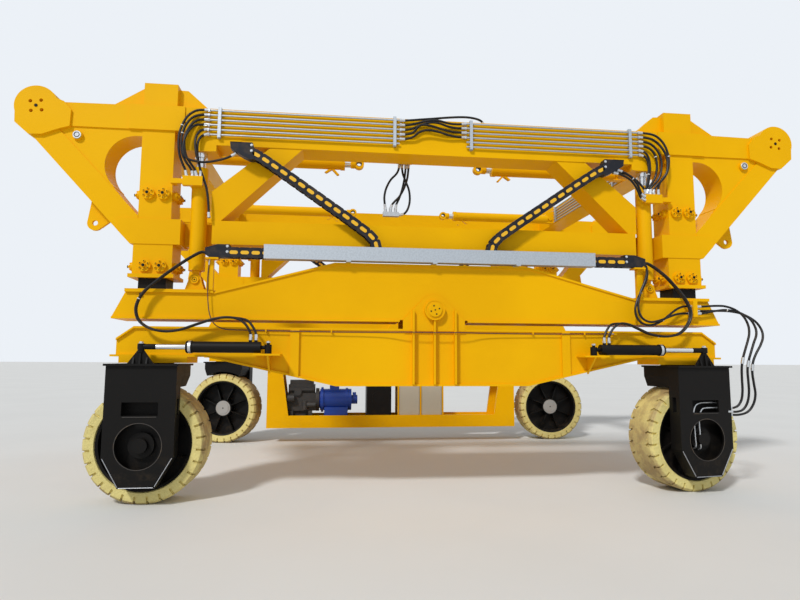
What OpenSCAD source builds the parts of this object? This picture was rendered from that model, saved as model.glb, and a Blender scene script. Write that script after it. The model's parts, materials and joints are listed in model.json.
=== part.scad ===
// Straddle carrier on four steered rubber-tyred wheels: two side frames joined by two cross beams.
// X runs along the side frames, Y across the straddled bay, Z up from the ground. Millimetres.

/* [Machine] */
// Distance between the steering axes of one side
wheelbase = 6980; // [6800:10:7200]
// Distance between the centre planes of the two side frames
gauge = 4980; // [4600:10:5600]
// How far the lift columns raise the upper frame
lift_stroke = 1000; // [600:10:1050]

/* [Wheels] */
// Outer diameter of the solid tyre
wheel_d = 1400; // [1360:5:1420]
// Width of the tyre
tyre_w = 480; // [440:5:490]
// Seat diameter of the tyre on its rim
rim_d = 1108; // [1060:2:1140]
// Number of radial ribs on a wheel disc
wheel_ribs = 8; // [5:1:10]
// Number of notches round each shoulder of a tyre
notch_count = 28; // [20:1:32]
// Depth of a shoulder notch
notch_depth = 15; // [8:1:18]
// How far a notch runs in from the shoulder
notch_reach = 110; // [60:5:130]
// Turn at rest of the near left wheel
turn_near_left = 0; // [-12:1:12]
// Turn at rest of the near right wheel
turn_near_right = 8; // [-12:1:12]
// Turn at rest of the far left wheel
turn_far_left = -10; // [-12:1:12]
// Turn at rest of the far right wheel
turn_far_right = -2; // [-12:1:12]

/* [Wheel forks] */
// Width of the drive housing beside the wheel
fork_w = 800; // [760:5:840]
// Height of the housing's top face
fork_top = 1650; // [1640:1:1655]
// Plate thickness of the housing
fork_wall = 25; // [16:1:30]
// Depth of the housing across the machine
fork_depth = 188; // [160:1:220]
// Radius of the round opening in the housing's face
fork_port_r = 262; // [220:1:280]
// Radius of the kingpin
kingpin_r = 120; // [90:1:140]
// Radius of the wheel's stub axle
axle_r = 80; // [60:1:95]

/* [Axle beams] */
// Width of the box beams between their web plates
web_w = 480; // [420:5:500]
// Width of the beam flanges
flange_w = 540; // [510:5:580]
// Flange thickness
flange_t = 25; // [16:1:30]
// Height of the axle beam's top face
axle_top = 2100; // [2090:1:2110]
// Height of the axle beam's underside at midspan
axle_belly = 1380; // [1350:5:1450]
// Height of the equaliser pin
pivot_z = 2340; // [2330:1:2360]
// Radius of the equaliser pin
pivot_r = 100; // [80:1:110]

/* [Saddle beams] */
// Height of the saddle beam's underside
saddle_bottom = 2190; // [2185:1:2200]
// Height of the saddle beam's hump
saddle_hump = 2930; // [2860:5:2930]

/* [Lift columns] */
// Distance of the lift columns from midspan
column_x = 3510; // [3490:5:3530]
// Width of the upper sleeve
sleeve_w = 395; // [390:1:410]
// Width of the inner column
inner_w = 330; // [300:1:335]
// Depth of the inner column across the machine
inner_d = 320; // [300:1:325]
// Gap between the inner column and its sleeve
column_gap = 7.5; // [6:0.5:9]
// Distance of the lift cylinders from midspan
lift_cyl_x = 3000; // [2990:1:3010]
// Radius of a lift cylinder's barrel
lift_cyl_r = 100; // [80:1:105]
// Radius of a lift cylinder's rod
lift_rod_r = 60; // [40:1:70]
// Radius of a wear pad adjuster on a sleeve
adjuster_r = 76; // [50:1:80]

/* [Upper frame] */
// Depth of the upper frame's boxes across the machine
frame_w = 400; // [380:2:410]
// Height of the upper chord's underside
chord_bottom = 4420; // [4410:2:4430]
// Height of the upper chord's top face
chord_top = 4900; // [4880:2:4910]
// Height of the column cap
cap_top = 5200; // [5100:5:5250]
// Distance of an ear's centre from midspan
ear_x = 4965; // [4900:5:5050]
// Radius of an ear's round top
ear_r = 255; // [240:1:270]
// Bolt circle of an ear
ear_bolt_pcd = 176; // [150:1:200]
// Radius of an ear's bolt holes
ear_bolt_r = 22.5; // [15:0.5:28]
// Radius of the round opening beside each column
port_r = 380; // [340:5:390]
// Radius of the hole in a tie lug
lug_hole_r = 34; // [24:1:40]
// Width of a cross beam
cross_w = 400; // [360:5:420]

/* [Cylinders] */
// Radius of a steering cylinder's barrel
steer_barrel_r = 67; // [55:1:75]
// Radius of a steering cylinder's rod
steer_rod_r = 31; // [24:1:36]
// Height of the steering cylinders' axis
steer_z = 1850; // [1845:1:1860]
// Distance of the steering arm's eye outboard of the kingpin
steer_arm = 430; // [410:1:450]
// Radius of a hoist cylinder's barrel
hoist_barrel_r = 90; // [70:1:100]
// Radius of a hoist cylinder's rod
hoist_rod_r = 50; // [35:1:60]
// Distance of the hoist cylinders from the machine's centre plane
hoist_y = 1450; // [1300:10:1700]

/* [Chains and hoses] */
// Length of one link of the drag chains
chain_pitch = 136; // [110:1:150]
// Radius of the hoses
hose_r = 15; // [10:0.5:18]

/* [Hidden] */
$fn = 48;

YELLOW = [0.96, 0.72, 0];
BLACK = [0.06, 0.06, 0.07];
CHROME = [0.8, 0.82, 0.84];
CREAM = [0.85, 0.8, 0.53];
GREY = [0.67, 0.71, 0.73];
BLUE = [0.06, 0.16, 0.6];
BEIGE = [0.77, 0.75, 0.66];

half_base = wheelbase / 2;
half_gauge = gauge / 2;
// Mouth of the column sleeves, and how much column stays in them at full lift
flange_z = 2700;
sleeve_hold = 800;
// Radial clearance of a running fit, and the gap of a seat that only rests
run_fit = 0.05;
seat_gap = 0.3;

// End and side of each corner, and its wheel's turn at rest
END = 0;
SIDE = 1;
TURN = 2;
near_left = [-1, -1, turn_near_left];
near_right = [1, -1, turn_near_right];
far_left = [-1, 1, turn_far_left];
far_right = [1, 1, turn_far_right];

// Everything at a side frame is drawn on its centre plane, with -Y outboard
module on_near() translate([0, -half_gauge, 0]) children();
module on_far() mirror([0, 1, 0]) translate([0, -half_gauge, 0]) children();
module on_both_sides() {
  on_near() children();
  on_far() children();
}
module both_ends() {
  children();
  mirror([1, 0, 0]) children();
}
module both_faces() {
  children();
  mirror([0, 1, 0]) children();
}
module flip_if(on, axis) {
  if (on) mirror(axis) children();
  else children();
}
// A corner's own frame has its origin on the kingpin axis, +X to the machine's end, -Y outboard
module at_corner(corner, turned = true) {
  translate([corner[END] * half_base, corner[SIDE] * half_gauge, 0])
    rotate([0, 0, turned ? corner[TURN] : 0])
      flip_if(corner[END] < 0, [1, 0, 0])
        flip_if(corner[SIDE] > 0, [0, 1, 0])
          children();
}
// An outline in the XZ plane, given depth from y_front to y_back
module upright(y_front, y_back) {
  translate([0, y_back, 0]) rotate([90, 0, 0]) linear_extrude(y_back - y_front) children();
}
module block(low, high) translate(low) cube(high - low);
// A round bar along Y from y_front to y_back
module cross_bar(x, z, r, y_front, y_back) {
  translate([x, y_back, z]) rotate([90, 0, 0]) cylinder(r = r, h = y_back - y_front);
}
// A round bar along X
module long_bar(x0, x1, y, z, r) {
  translate([min(x0, x1), y, z]) rotate([0, 90, 0]) cylinder(r = r, h = abs(x1 - x0));
}
// A plate that follows a line of points at thickness t above it
function strip(line, t) = concat(line, [for (i = [len(line) - 1:-1:0]) line[i] + [0, t]]);
function mirrored(half) = concat([for (i = [len(half) - 1:-1:0]) [-half[i][0], half[i][1]]], half);

// Axle beam, drawn on its side's centre plane
beam_end = half_base + 370;
beam_shoulder = half_base + 170;
shoulder_z = 1930;
haunch_x = half_base - 670;
turret_z = 1735;
turret_drop = 75;
belly_x = 1235;
axle_line = [[belly_x, axle_belly], [haunch_x, turret_z], [beam_end + 60, turret_z]];
axle_half = [
  [beam_shoulder, axle_top - flange_t], [beam_end, shoulder_z], [beam_end, turret_z + flange_t],
  [haunch_x, turret_z + flange_t], [belly_x, axle_belly + flange_t]
];
// Height of the axle beam's sloping underside at a distance from midspan
function haunch_z(x) = axle_belly + (x - belly_x) * (turret_z - axle_belly) / (haunch_x - belly_x);
cheek_t = 24;
cheek_y = 256;
cheek_x = 400;
ring_r = 130;
rib_t = 22;
rib_out = 335;
outer_rib_x = 270;
module axle_outline() {
  polygon(concat(axle_half, [for (i = [len(axle_half) - 1:-1:0]) [-axle_half[i][0], axle_half[i][1]]]));
}
module axle_beam() {
  difference() {
    union() {
      upright(-web_w / 2, web_w / 2) axle_outline();
      upright(-flange_w / 2, flange_w / 2) {
        polygon(strip(mirrored(axle_line), flange_t));
        polygon(strip([[-beam_shoulder, axle_top - flange_t], [beam_shoulder, axle_top - flange_t]], flange_t));
        both_ends_2d() polygon(strip([[beam_shoulder, axle_top - flange_t], [beam_end, shoulder_z]], flange_t));
      }
      // Turret block that takes the kingpin
      both_ends() {
        block([half_base - 465, -flange_w / 2, turret_z - turret_drop], [half_base + 325, flange_w / 2, turret_z]);
      }
      both_faces() pivot_cheek();
      both_faces() both_ends() web_pad();
      steer_shelves();
    }
    both_ends() {
      translate([half_base, 0, turret_z - turret_drop - 1])
        cylinder(r = kingpin_r + run_fit, h = kingpin_top - turret_z + turret_drop + 6);
    }
    cross_bar(0, pivot_z, pivot_r + run_fit, -rib_out - 40, rib_out + 40);
  }
}
module both_ends_2d() {
  children();
  mirror([1, 0]) children();
}
// Cheek plate with its bearing ring and three ribs, on the outboard face
module pivot_cheek() {
  upright(-cheek_y - cheek_t, -cheek_y) {
    polygon(mirrored([[cheek_x, axle_top - flange_t], [cheek_x, saddle_bottom + 20], [190, pivot_z + 90]]));
    translate([0, pivot_z]) circle(r = 200);
  }
  cross_bar(0, pivot_z, ring_r, -rib_out - 10, -cheek_y - cheek_t);
  for (x = [-outer_rib_x, outer_rib_x]) {
    block([x - rib_t / 2, -rib_out, axle_belly + flange_t], [x + rib_t / 2, -cheek_y - cheek_t, pivot_z]);
    block([x - rib_t / 2, -rib_out, axle_belly + flange_t], [x + rib_t / 2, -web_w / 2, axle_top - flange_t]);
  }
  block([-rib_t / 2, -rib_out, axle_belly + flange_t], [rib_t / 2, -cheek_y - cheek_t, pivot_z - ring_r + 10]);
  block([-rib_t / 2, -rib_out, axle_belly + flange_t], [rib_t / 2, -web_w / 2, axle_top - flange_t]);
}
// Upright pad on the web, between the flanges
web_pad_x = 1750;
web_pad_w = 110;
module web_pad() {
  upright(-flange_w / 2 - 6, -web_w / 2) polygon([
    [web_pad_x - web_pad_w / 2, axle_top - flange_t], [web_pad_x + web_pad_w / 2, axle_top - flange_t],
    [web_pad_x + web_pad_w / 2, haunch_z(web_pad_x + web_pad_w / 2) + 2],
    [web_pad_x - web_pad_w / 2, haunch_z(web_pad_x - web_pad_w / 2) + 2]
  ]);
}
// Shelf under each steering cylinder's rear eye, with its gusset
shelf_gap = 8;
shelf_z = steer_z - steer_barrel_r - shelf_gap;
rear_eye_x = half_base - 1440;
module steer_shelves() {
  both_ends() {
    block([rear_eye_x - 150, -steer_arm - 80, shelf_z - 22], [rear_eye_x + 170, -web_w / 2, shelf_z]);
    translate([rear_eye_x - 11, 0, 0]) rotate([90, 0, 90]) linear_extrude(22)
      polygon([[-web_w / 2, shelf_z - 22], [-steer_arm - 60, shelf_z - 22], [-web_w / 2, shelf_z - 240]]);
  }
}
module pivot_pin() {
  color(YELLOW) {
    cross_bar(0, pivot_z, pivot_r, -rib_out - 16, rib_out + 16);
  }
}

// Steering cylinders: the barrel lies beside the axle beam, its rod reaches the fork's arm
arm_lead = 20;
eye_h = 70;
barrel_x0 = half_base - 1354;
barrel_x1 = half_base - 490;
rod_bore = barrel_x0 + 40;
port_at = [60, 125];
port_rise = 20;
module steer_barrel() {
  color(BLACK) difference() {
    union() {
      long_bar(barrel_x0, barrel_x1, -steer_arm, steer_z, steer_barrel_r);
      long_bar(barrel_x1 - 70, barrel_x1 - 10, -steer_arm, steer_z, steer_barrel_r + 7);
      long_bar(rear_eye_x + 20, barrel_x0, -steer_arm, steer_z, 24);
      for (x = port_at) translate([barrel_x0 + x, -steer_arm, steer_z]) cylinder(r = 20, h = steer_barrel_r + port_rise);
      translate([rear_eye_x, -steer_arm, shelf_z]) cylinder(r = 42, h = steer_z + eye_h / 2 - shelf_z);
      translate([rear_eye_x, -steer_arm, shelf_z]) cylinder(r = 20, h = steer_z + eye_h / 2 + 20 - shelf_z);
    }
    long_bar(rod_bore, barrel_x1 + 1, -steer_arm, steer_z, steer_rod_r + run_fit);
  }
}
module steer_barrels() both_ends() steer_barrel();
// The rod ends over the arm's eye wherever the wheel's turn at rest puts it
function arm_tip_x(corner) =
  half_base + arm_lead * cos(corner[TURN]) + corner[END] * (-corner[SIDE]) * steer_arm * sin(corner[TURN]);
module steer_rod(corner) {
  tip = arm_tip_x(corner);
  translate([0, corner[SIDE] * half_gauge, 0])
    flip_if(corner[END] < 0, [1, 0, 0])
      flip_if(corner[SIDE] > 0, [0, 1, 0])
        translate([0, -steer_arm, 0]) {
          color(CHROME) long_bar(tip - 1000, tip - 170, 0, steer_z, steer_rod_r);
          color(BLACK) {
            long_bar(tip - 170, tip - 20, 0, steer_z, eye_h / 2 - 2);
            translate([tip, 0, steer_z - eye_h / 2]) cylinder(r = 42, h = eye_h);
            translate([tip, 0, steer_z]) cylinder(r = 18, h = eye_h / 2 + 30);
          }
        }
}

// Wheel fork: an outboard drive housing, an arm over the wheel and the kingpin
fork_front = -440;
fork_back = fork_front + fork_depth;
fork_chamfer_z = 575;
fork_foot_z = 230;
fork_foot_x = 205;
kingpin_top = 2000;
axle_z = wheel_d / 2;
hub_face = -85;
arch_r = axle_z + 45;
module housing_outline(wall) {
  w = fork_w / 2 - wall;
  polygon([
    [-w, fork_top - wall], [w, fork_top - wall], [w, fork_chamfer_z + wall / 4],
    [fork_foot_x - wall / 2, fork_foot_z + wall], [-fork_foot_x + wall / 2, fork_foot_z + wall],
    [-w, fork_chamfer_z + wall / 4]
  ]);
}
module fork(corner) {
  at_corner(corner) color(BLACK) {
    difference() {
      union() {
        upright(fork_front, fork_back) housing_outline(0);
        // Arm over the wheel, arched on its underside
        upright(fork_back, 240) difference() {
          polygon([[-390, fork_top], [390, fork_top], [390, fork_top - 150], [330, 1330], [-330, 1330], [-390, fork_top - 150]]);
          translate([0, axle_z]) circle(r = arch_r, $fn = 96);
        }
        block([-fork_w / 2 - 20, fork_front - 35, fork_top - fork_wall], [fork_w / 2 + 20, 250, fork_top]);
        translate([0, 0, fork_top - 1]) cylinder(r = kingpin_r, h = kingpin_top - fork_top + 1);
        translate([0, 0, fork_top - 1]) cylinder(r = 240, h = turret_z - turret_drop - fork_top + 1 - seat_gap);
      }
      upright(fork_front + fork_wall, fork_back - fork_wall) housing_outline(fork_wall);
      cross_bar(0, axle_z, fork_port_r, fork_front - 1, fork_front + fork_wall + 1);
      block([-205, fork_front - 1, 1050], [205, fork_front + fork_wall + 1, 1205]);
      for (side = [-1, 1]) {
        block([side * (fork_w / 2 - 15) - 25, fork_front + 60, 1050], [side * (fork_w / 2 - 15) + 25, fork_back - 60, 1240]);
      }
    }
    // Gearbox, motor and stub axle
    cross_bar(0, axle_z, 190, fork_back - fork_wall - 1, hub_face - seat_gap);
    cross_bar(0, axle_z, axle_r, hub_face - seat_gap - 1, 120);
    cross_bar(0, axle_z, 150, fork_front + 110, fork_back - fork_wall + 1);
    cross_bar(0, axle_z, 85, fork_front + 50, fork_back - fork_wall + 1);
    steer_arm_bracket();
  }
}
// Ribbed pedestal that carries the steering arm's eye
module steer_arm_bracket() {
  top = steer_z - eye_h / 2 - seat_gap;
  translate([arm_lead, -steer_arm, 0]) {
    upright(-12, 12) polygon([[-150, fork_top - 1], [150, fork_top - 1], [30, top], [-30, top]]);
    for (x = [-75, 0, 75]) {
      translate([x - 10, 0, 0]) rotate([90, 0, 90]) linear_extrude(20)
        polygon([[-44, fork_top - 1], [44, fork_top - 1], [20, top - abs(x) * 1.2], [-20, top - abs(x) * 1.2]]);
    }
    translate([0, 0, top - 30]) cylinder(r = 34, h = 30);
  }
}

// Wheel: a dished disc with radial ribs in a deep rim, and a solid tyre
rim_r = rim_d / 2;
rim_t = 32;
module wheel_frame(corner) at_corner(corner) translate([0, 0, axle_z]) rotate([-90, 0, 0]) children();
module rim(corner) {
  color(BLACK) wheel_frame(corner) difference() {
    union() {
      rotate_extrude() polygon([
        [axle_r + run_fit, hub_face], [150, hub_face], [150, -30], [rim_r - rim_t, -30],
        [rim_r - rim_t, -215], [rim_r, -225], [rim_r, 225], [rim_r - rim_t, 215], [rim_r - rim_t, 0],
        [170, 0], [170, 165], [0, 165], [0, 125], [axle_r + run_fit, 125]
      ]);
      for (i = [0:wheel_ribs - 1]) {
        rotate([0, 0, (i + 0.5) * 360 / wheel_ribs]) {
          translate([0, 9, 0]) rotate([90, 0, 0]) linear_extrude(18)
            polygon([[160, -1], [rim_r - rim_t + 5, -1], [rim_r - rim_t + 5, 60], [160, 150]]);
          translate([0, 9, 0]) rotate([90, 0, 0]) linear_extrude(18)
            polygon([[230, -29], [rim_r - rim_t + 5, -29], [rim_r - rim_t + 5, -110], [230, -60]]);
        }
      }
    }
  }
}
shoulder_r = axle_z - 32;
shoulder_w = 36;
notch_w = 22;
notch_drop = 60;
module tyre(corner) {
  half = tyre_w / 2;
  color(CREAM) wheel_frame(corner) difference() {
    rotate_extrude($fn = 96) polygon([
      [rim_r + seat_gap, -half + 15], [rim_r + 15, -half], [shoulder_r, -half], [axle_z, -half + shoulder_w],
      [axle_z, half - shoulder_w], [shoulder_r, half], [rim_r + 15, half], [rim_r + seat_gap, half - 15]
    ]);
    for (i = [0:notch_count - 1]) {
      rotate([0, 0, 90 + (i + 0.5) * 360 / notch_count]) for (side = [0, 1]) {
        mirror([0, 0, side]) {
          block([axle_z - notch_depth, -notch_w / 2, half - notch_reach], [axle_z + 5, notch_w / 2, half + 1]);
          block([axle_z - notch_drop, -notch_w / 2, half - notch_depth], [axle_z + 5, notch_w / 2, half + 2]);
        }
      }
    }
  }
}

// Saddle beam with its pad plates, cylinder lugs and tray posts
saddle_web_w = 500;
pad_x0 = column_x - 763;
pad_x1 = column_x + 276;
pad_z = 2515;
pad_t = 40;
saddle_foot = beam_end + 70;
saddle_half = [
  [0, saddle_hump], [1270, saddle_hump], [pad_x0, pad_z + 10], [pad_x0, pad_z], [pad_x1, pad_z],
  [saddle_foot, saddle_bottom + flange_t], [0, saddle_bottom + flange_t]
];
flange_notch = 440;
lift_y = -90;
lift_eye_z = 2690;
// Bulkhead plate that the hoses pass through, under the near right pad plate
bulkhead_x = column_x + 25;
module hose_bulkhead() {
  block([bulkhead_x - 30, -350, pad_z - 215], [bulkhead_x + 30, -saddle_web_w / 2 + 1, pad_z + 1]);
}
module saddle_beam() {
  color(YELLOW) difference() {
    union() {
      upright(-saddle_web_w / 2, saddle_web_w / 2) both_ends_2d() polygon(saddle_half);
      both_ends() {
        block([flange_notch, -flange_w / 2, saddle_bottom], [saddle_foot, flange_w / 2, saddle_bottom + flange_t]);
        upright(-flange_w / 2, flange_w / 2)
          polygon(strip([[1270, saddle_hump - flange_t], [pad_x0 + 20, pad_z + 10 - flange_t]], flange_t));
        block([pad_x0, -flange_w / 2 - 15, pad_z], [pad_x1, flange_w / 2 + 15, pad_z + pad_t]);
        for (y = [lift_y - 75, lift_y + 50]) {
          upright(y, y + 25) {
            translate([lift_cyl_x, lift_eye_z]) circle(r = 75);
            polygon([[lift_cyl_x - 120, pad_z + pad_t], [lift_cyl_x + 120, pad_z + pad_t], [lift_cyl_x + 75, lift_eye_z], [lift_cyl_x - 75, lift_eye_z]]);
          }
        }
        // Post under the lower drag chain
        block([pad_x0 + 5, -300, pad_z + pad_t - 1], [pad_x0 + 85, -240, tray_z0 - 20]);
        block([pad_x0 - 60, -365, tray_z0 - 20], [pad_x0 + 95, -225, tray_z0]);
      }
      upright(-flange_w / 2, flange_w / 2)
        polygon(strip([[-1270, saddle_hump - flange_t], [1270, saddle_hump - flange_t]], flange_t));
    }
    cross_bar(0, pivot_z, pivot_r + run_fit, -flange_w, flange_w);
    both_ends() cross_bar(lift_cyl_x, lift_eye_z, lift_pin_r + run_fit, lift_y - 90, lift_y + 90);
  }
}
module near_saddle_beam() {
  saddle_beam();
  color(YELLOW) hose_bulkhead();
}
lift_pin_r = 30;
barrel_z0 = 2810;
barrel_z1 = barrel_z0 + 320 + lift_stroke;
rod_z1 = 4330;
module lift_barrels() {
  color(YELLOW) both_ends() difference() {
    union() {
      translate([lift_cyl_x, lift_y, barrel_z0]) cylinder(r = lift_cyl_r, h = barrel_z1 - barrel_z0);
      upright_eye(lift_cyl_x, lift_eye_z, 65, lift_y - 45, lift_y + 45);
      block([lift_cyl_x - 45, lift_y - 45, lift_eye_z], [lift_cyl_x + 45, lift_y + 45, barrel_z0 + 5]);
      cross_bar(lift_cyl_x, lift_eye_z, lift_pin_r, lift_y - 85, lift_y + 85);
    }
    translate([lift_cyl_x, lift_y, barrel_z0 + 60]) cylinder(r = lift_rod_r + run_fit, h = barrel_z1);
  }
}
module upright_eye(x, z, r, y_front, y_back) cross_bar(x, z, r, y_front, y_back);
column_top = flange_z + sleeve_hold + lift_stroke;
module inner_columns() {
  color(BLACK) both_ends() {
    block([column_x - inner_w / 2, -inner_d / 2, pad_z + pad_t], [column_x + inner_w / 2, inner_d / 2, column_top]);
  }
}

// Cable tray on the saddle beam's hump, and the drag chains that leave it
tray_x = 2145;
tray_z0 = saddle_hump + 16;
tray_z1 = tray_z0 + 177;
tray_front = -365;
tray_back = -225;
tray_t = 4;
module chain_tray() {
  color(GREY) {
    difference() {
      block([-tray_x, tray_front, tray_z0], [tray_x, tray_back, tray_z1]);
      block([-tray_x - 1, tray_front + tray_t, tray_z0 + tray_t], [tray_x + 1, tray_back - tray_t, tray_z1 + 1]);
    }
    for (x = [-1100, 0, 1100]) {
      block([x - 30, tray_front, saddle_hump], [x + 30, -100, tray_z0]);
    }
  }
}
chain_h = 130;
chain_w = 110;
chain_y = -295;
lower_chain_x = 2850;
lower_chain = [
  [tray_x - 500, tray_z0 + tray_t + chain_h / 2], [lower_chain_x, tray_z0 + tray_t + chain_h / 2]
];
function span(line, i) = norm(line[i] - line[i - 1]);
function reach(line, i) = i == 0 ? 0 : reach(line, i - 1) + span(line, i);
function point_at(line, d, i = 1) = d <= span(line, i) || i == len(line) - 1
  ? line[i - 1] + (line[i] - line[i - 1]) * d / span(line, i) : point_at(line, d - span(line, i), i + 1);
function unit(v) = v / norm(v);
function knots_on(line, count) = [for (i = [0:count]) point_at(line, i * reach(line, len(line) - 1) / count)];
function across(knots, i) =
  let (d = unit(knots[min(i + 1, len(knots) - 1)] - knots[max(i - 1, 0)])) [-d[1], d[0]];
// The core that the links share: a strip through all the knots, thinner and lower than the links
module chain_core(knots) {
  h = chain_h / 2 - 16;
  last = len(knots) - 1;
  upright(chain_y - chain_w / 2 + 9, chain_y + chain_w / 2 - 9) polygon(concat(
    [for (i = [0:last]) knots[i] + h * across(knots, i)],
    [for (i = [last:-1:0]) knots[i] - h * across(knots, i)]
  ));
}
// One link's plates, with cut corners that leave its neighbours room in a bend
module chain_link(l) {
  h = chain_h / 2;
  upright(chain_y - chain_w / 2, chain_y + chain_w / 2) polygon([
    [-l * 0.40, -h / 2], [-l * 0.31, -h], [l * 0.31, -h], [l * 0.40, -h / 2],
    [l * 0.40, h / 2], [l * 0.31, h], [-l * 0.31, h], [-l * 0.40, h / 2]
  ]);
}
module chain_run(line) {
  knots = knots_on(line, round(reach(line, len(line) - 1) / chain_pitch));
  chain_core(knots);
  for (i = [1:len(knots) - 1]) {
    step = knots[i] - knots[i - 1];
    middle = (knots[i] + knots[i - 1]) / 2;
    translate([middle[0], 0, middle[1]]) rotate([0, -atan2(step[1], step[0]), 0]) chain_link(norm(step));
  }
}
module lower_chains() color(BLACK) both_ends() chain_run(lower_chain);
// The upper chain leaves the tray in a bend and climbs to the upper chord
chain_head_z = chord_bottom - seat_gap - chain_h / 2;
chain_head_x = 2600;
upper_chain = [
  [740, tray_z0 + tray_t + seat_gap], [740, tray_z0 + 234], [850, tray_z0 + 354], [1100, tray_z0 + 534],
  [1900, chord_bottom - 390], [2200, chord_bottom - 175], [2400, chain_head_z], [chain_head_x, chain_head_z]
];
module upper_chains() color(BLACK) both_ends() chain_run(upper_chain);

// Upper frame: chords with their column nodes, sleeves, outriggers, lower chords and braces
node_x0 = column_x - 315;
node_x1 = column_x + 360;
sleeve_top = 4583;
bay_hose_x = -360;
bay_bracket_z = 4440;
module top_chords() {
  color(YELLOW) on_near() {
    block([bay_hose_x - 60, frame_w / 2 - 1, bay_bracket_z], [bay_hose_x + 140, frame_w / 2 + 70, bay_bracket_z + 50]);
  }
  color(YELLOW) on_both_sides() {
    upright(-frame_w / 2, frame_w / 2) polygon([
      [-node_x0, chord_bottom], [node_x0, chord_bottom], [node_x0, chord_top], [-node_x0, chord_top]
    ]);
    both_ends() {
      // Bracket over the head of the upper drag chain
      block([chain_head_x - 140, chain_y - chain_w / 2 - 10, chord_bottom], [chain_head_x, -frame_w / 2, chord_bottom + 14]);
      block([node_x0, -frame_w / 2 - 15, sleeve_top], [node_x1, frame_w / 2 + 15, chord_top + 5]);
      block([column_x - 210, -frame_w / 2 + 10, chord_top], [column_x + 200, frame_w / 2 - 10, cap_top]);
      upright(-110, 110) polygon([
        [column_x - 615, chord_top], [column_x + 625, chord_top], [column_x + 200, cap_top - 25], [column_x - 320, cap_top - 40]
      ]);
      // Pocket head over the lift cylinder
      upright(-frame_w / 2, frame_w / 2) polygon([
        [node_x0, chord_bottom + 1], [node_x0 - 400, chord_bottom + 1], [node_x0 - 400, chord_bottom - 80], [node_x0 - 320, rod_z1 + 5], [node_x0, rod_z1 + 5]
      ]);
    }
  }
}
cavity_w = inner_w + 2 * column_gap;
cavity_d = inner_d + 2 * column_gap;
collar_z0 = saddle_hump + 190;
collar_z1 = collar_z0 + 320;
collar_x0 = column_x - 320;
collar_x1 = column_x + 435;
adjuster_x = [-100, 85];
adjuster_z = [flange_z + 147, collar_z1 + 320];
// Round boss over a wear pad, with its centre screw
module adjuster(x, z) {
  cross_bar(x, z, adjuster_r, -frame_w / 2 - 30, -180);
  cross_bar(x, z, 24, -frame_w / 2 - 62, -180);
}
// Valve block beside the lift cylinder, on an arm from the sleeve
valve_x0 = lift_cyl_x - 70;
valve_x1 = column_x - sleeve_w / 2 - 140;
valve_y0 = lift_y - lift_cyl_r - 100;
valve_y1 = lift_y - lift_cyl_r - 30;
valve_top = 3980;
module valve_block() {
  block([valve_x0, valve_y0, valve_top - 120], [valve_x1, valve_y1, valve_top]);
  block([valve_x1 - 5, valve_y0 + 15, valve_top - 95], [column_x - sleeve_w / 2 + 5, valve_y1 - 10, valve_top - 35]);
  block([column_x - sleeve_w / 2 - 60, valve_y0 + 15, valve_top - 95], [column_x - sleeve_w / 2 + 5, -150, valve_top - 35]);
}
module column_sleeves() {
  color(YELLOW) on_both_sides() both_ends() difference() {
    union() {
      block([column_x - sleeve_w / 2, -190, collar_z1], [column_x + sleeve_w / 2, 190, sleeve_top]);
      upright(-frame_w / 2 - 5, frame_w / 2 + 5) polygon([
        [collar_x0, collar_z0], [collar_x1 - 159, collar_z0], [collar_x1, collar_z0 + 170], [collar_x1, collar_z1], [collar_x0, collar_z1]
      ]);
      block([column_x - 235, -frame_w / 2 + 5, flange_z], [column_x + 235, frame_w / 2 - 5, collar_z0]);
      block([column_x - 270, -frame_w / 2 - 35, flange_z], [column_x + 270, frame_w / 2 + 35, flange_z + 45]);
      both_faces() for (x = adjuster_x, z = adjuster_z) adjuster(column_x + x, z);
      valve_block();
    }
    block([column_x - cavity_w / 2, -cavity_d / 2, flange_z - 1], [column_x + cavity_w / 2, cavity_d / 2, column_top + 30]);
  }
}
ear_z = 4812;
ear_half_d = frame_w / 2 + 30;
rake_foot = [collar_x1, collar_z0 + 170];
rake_head = [5030, 4469];
lug_at = [column_x + 766, collar_z0 + 285];
port_z = 4120;
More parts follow.
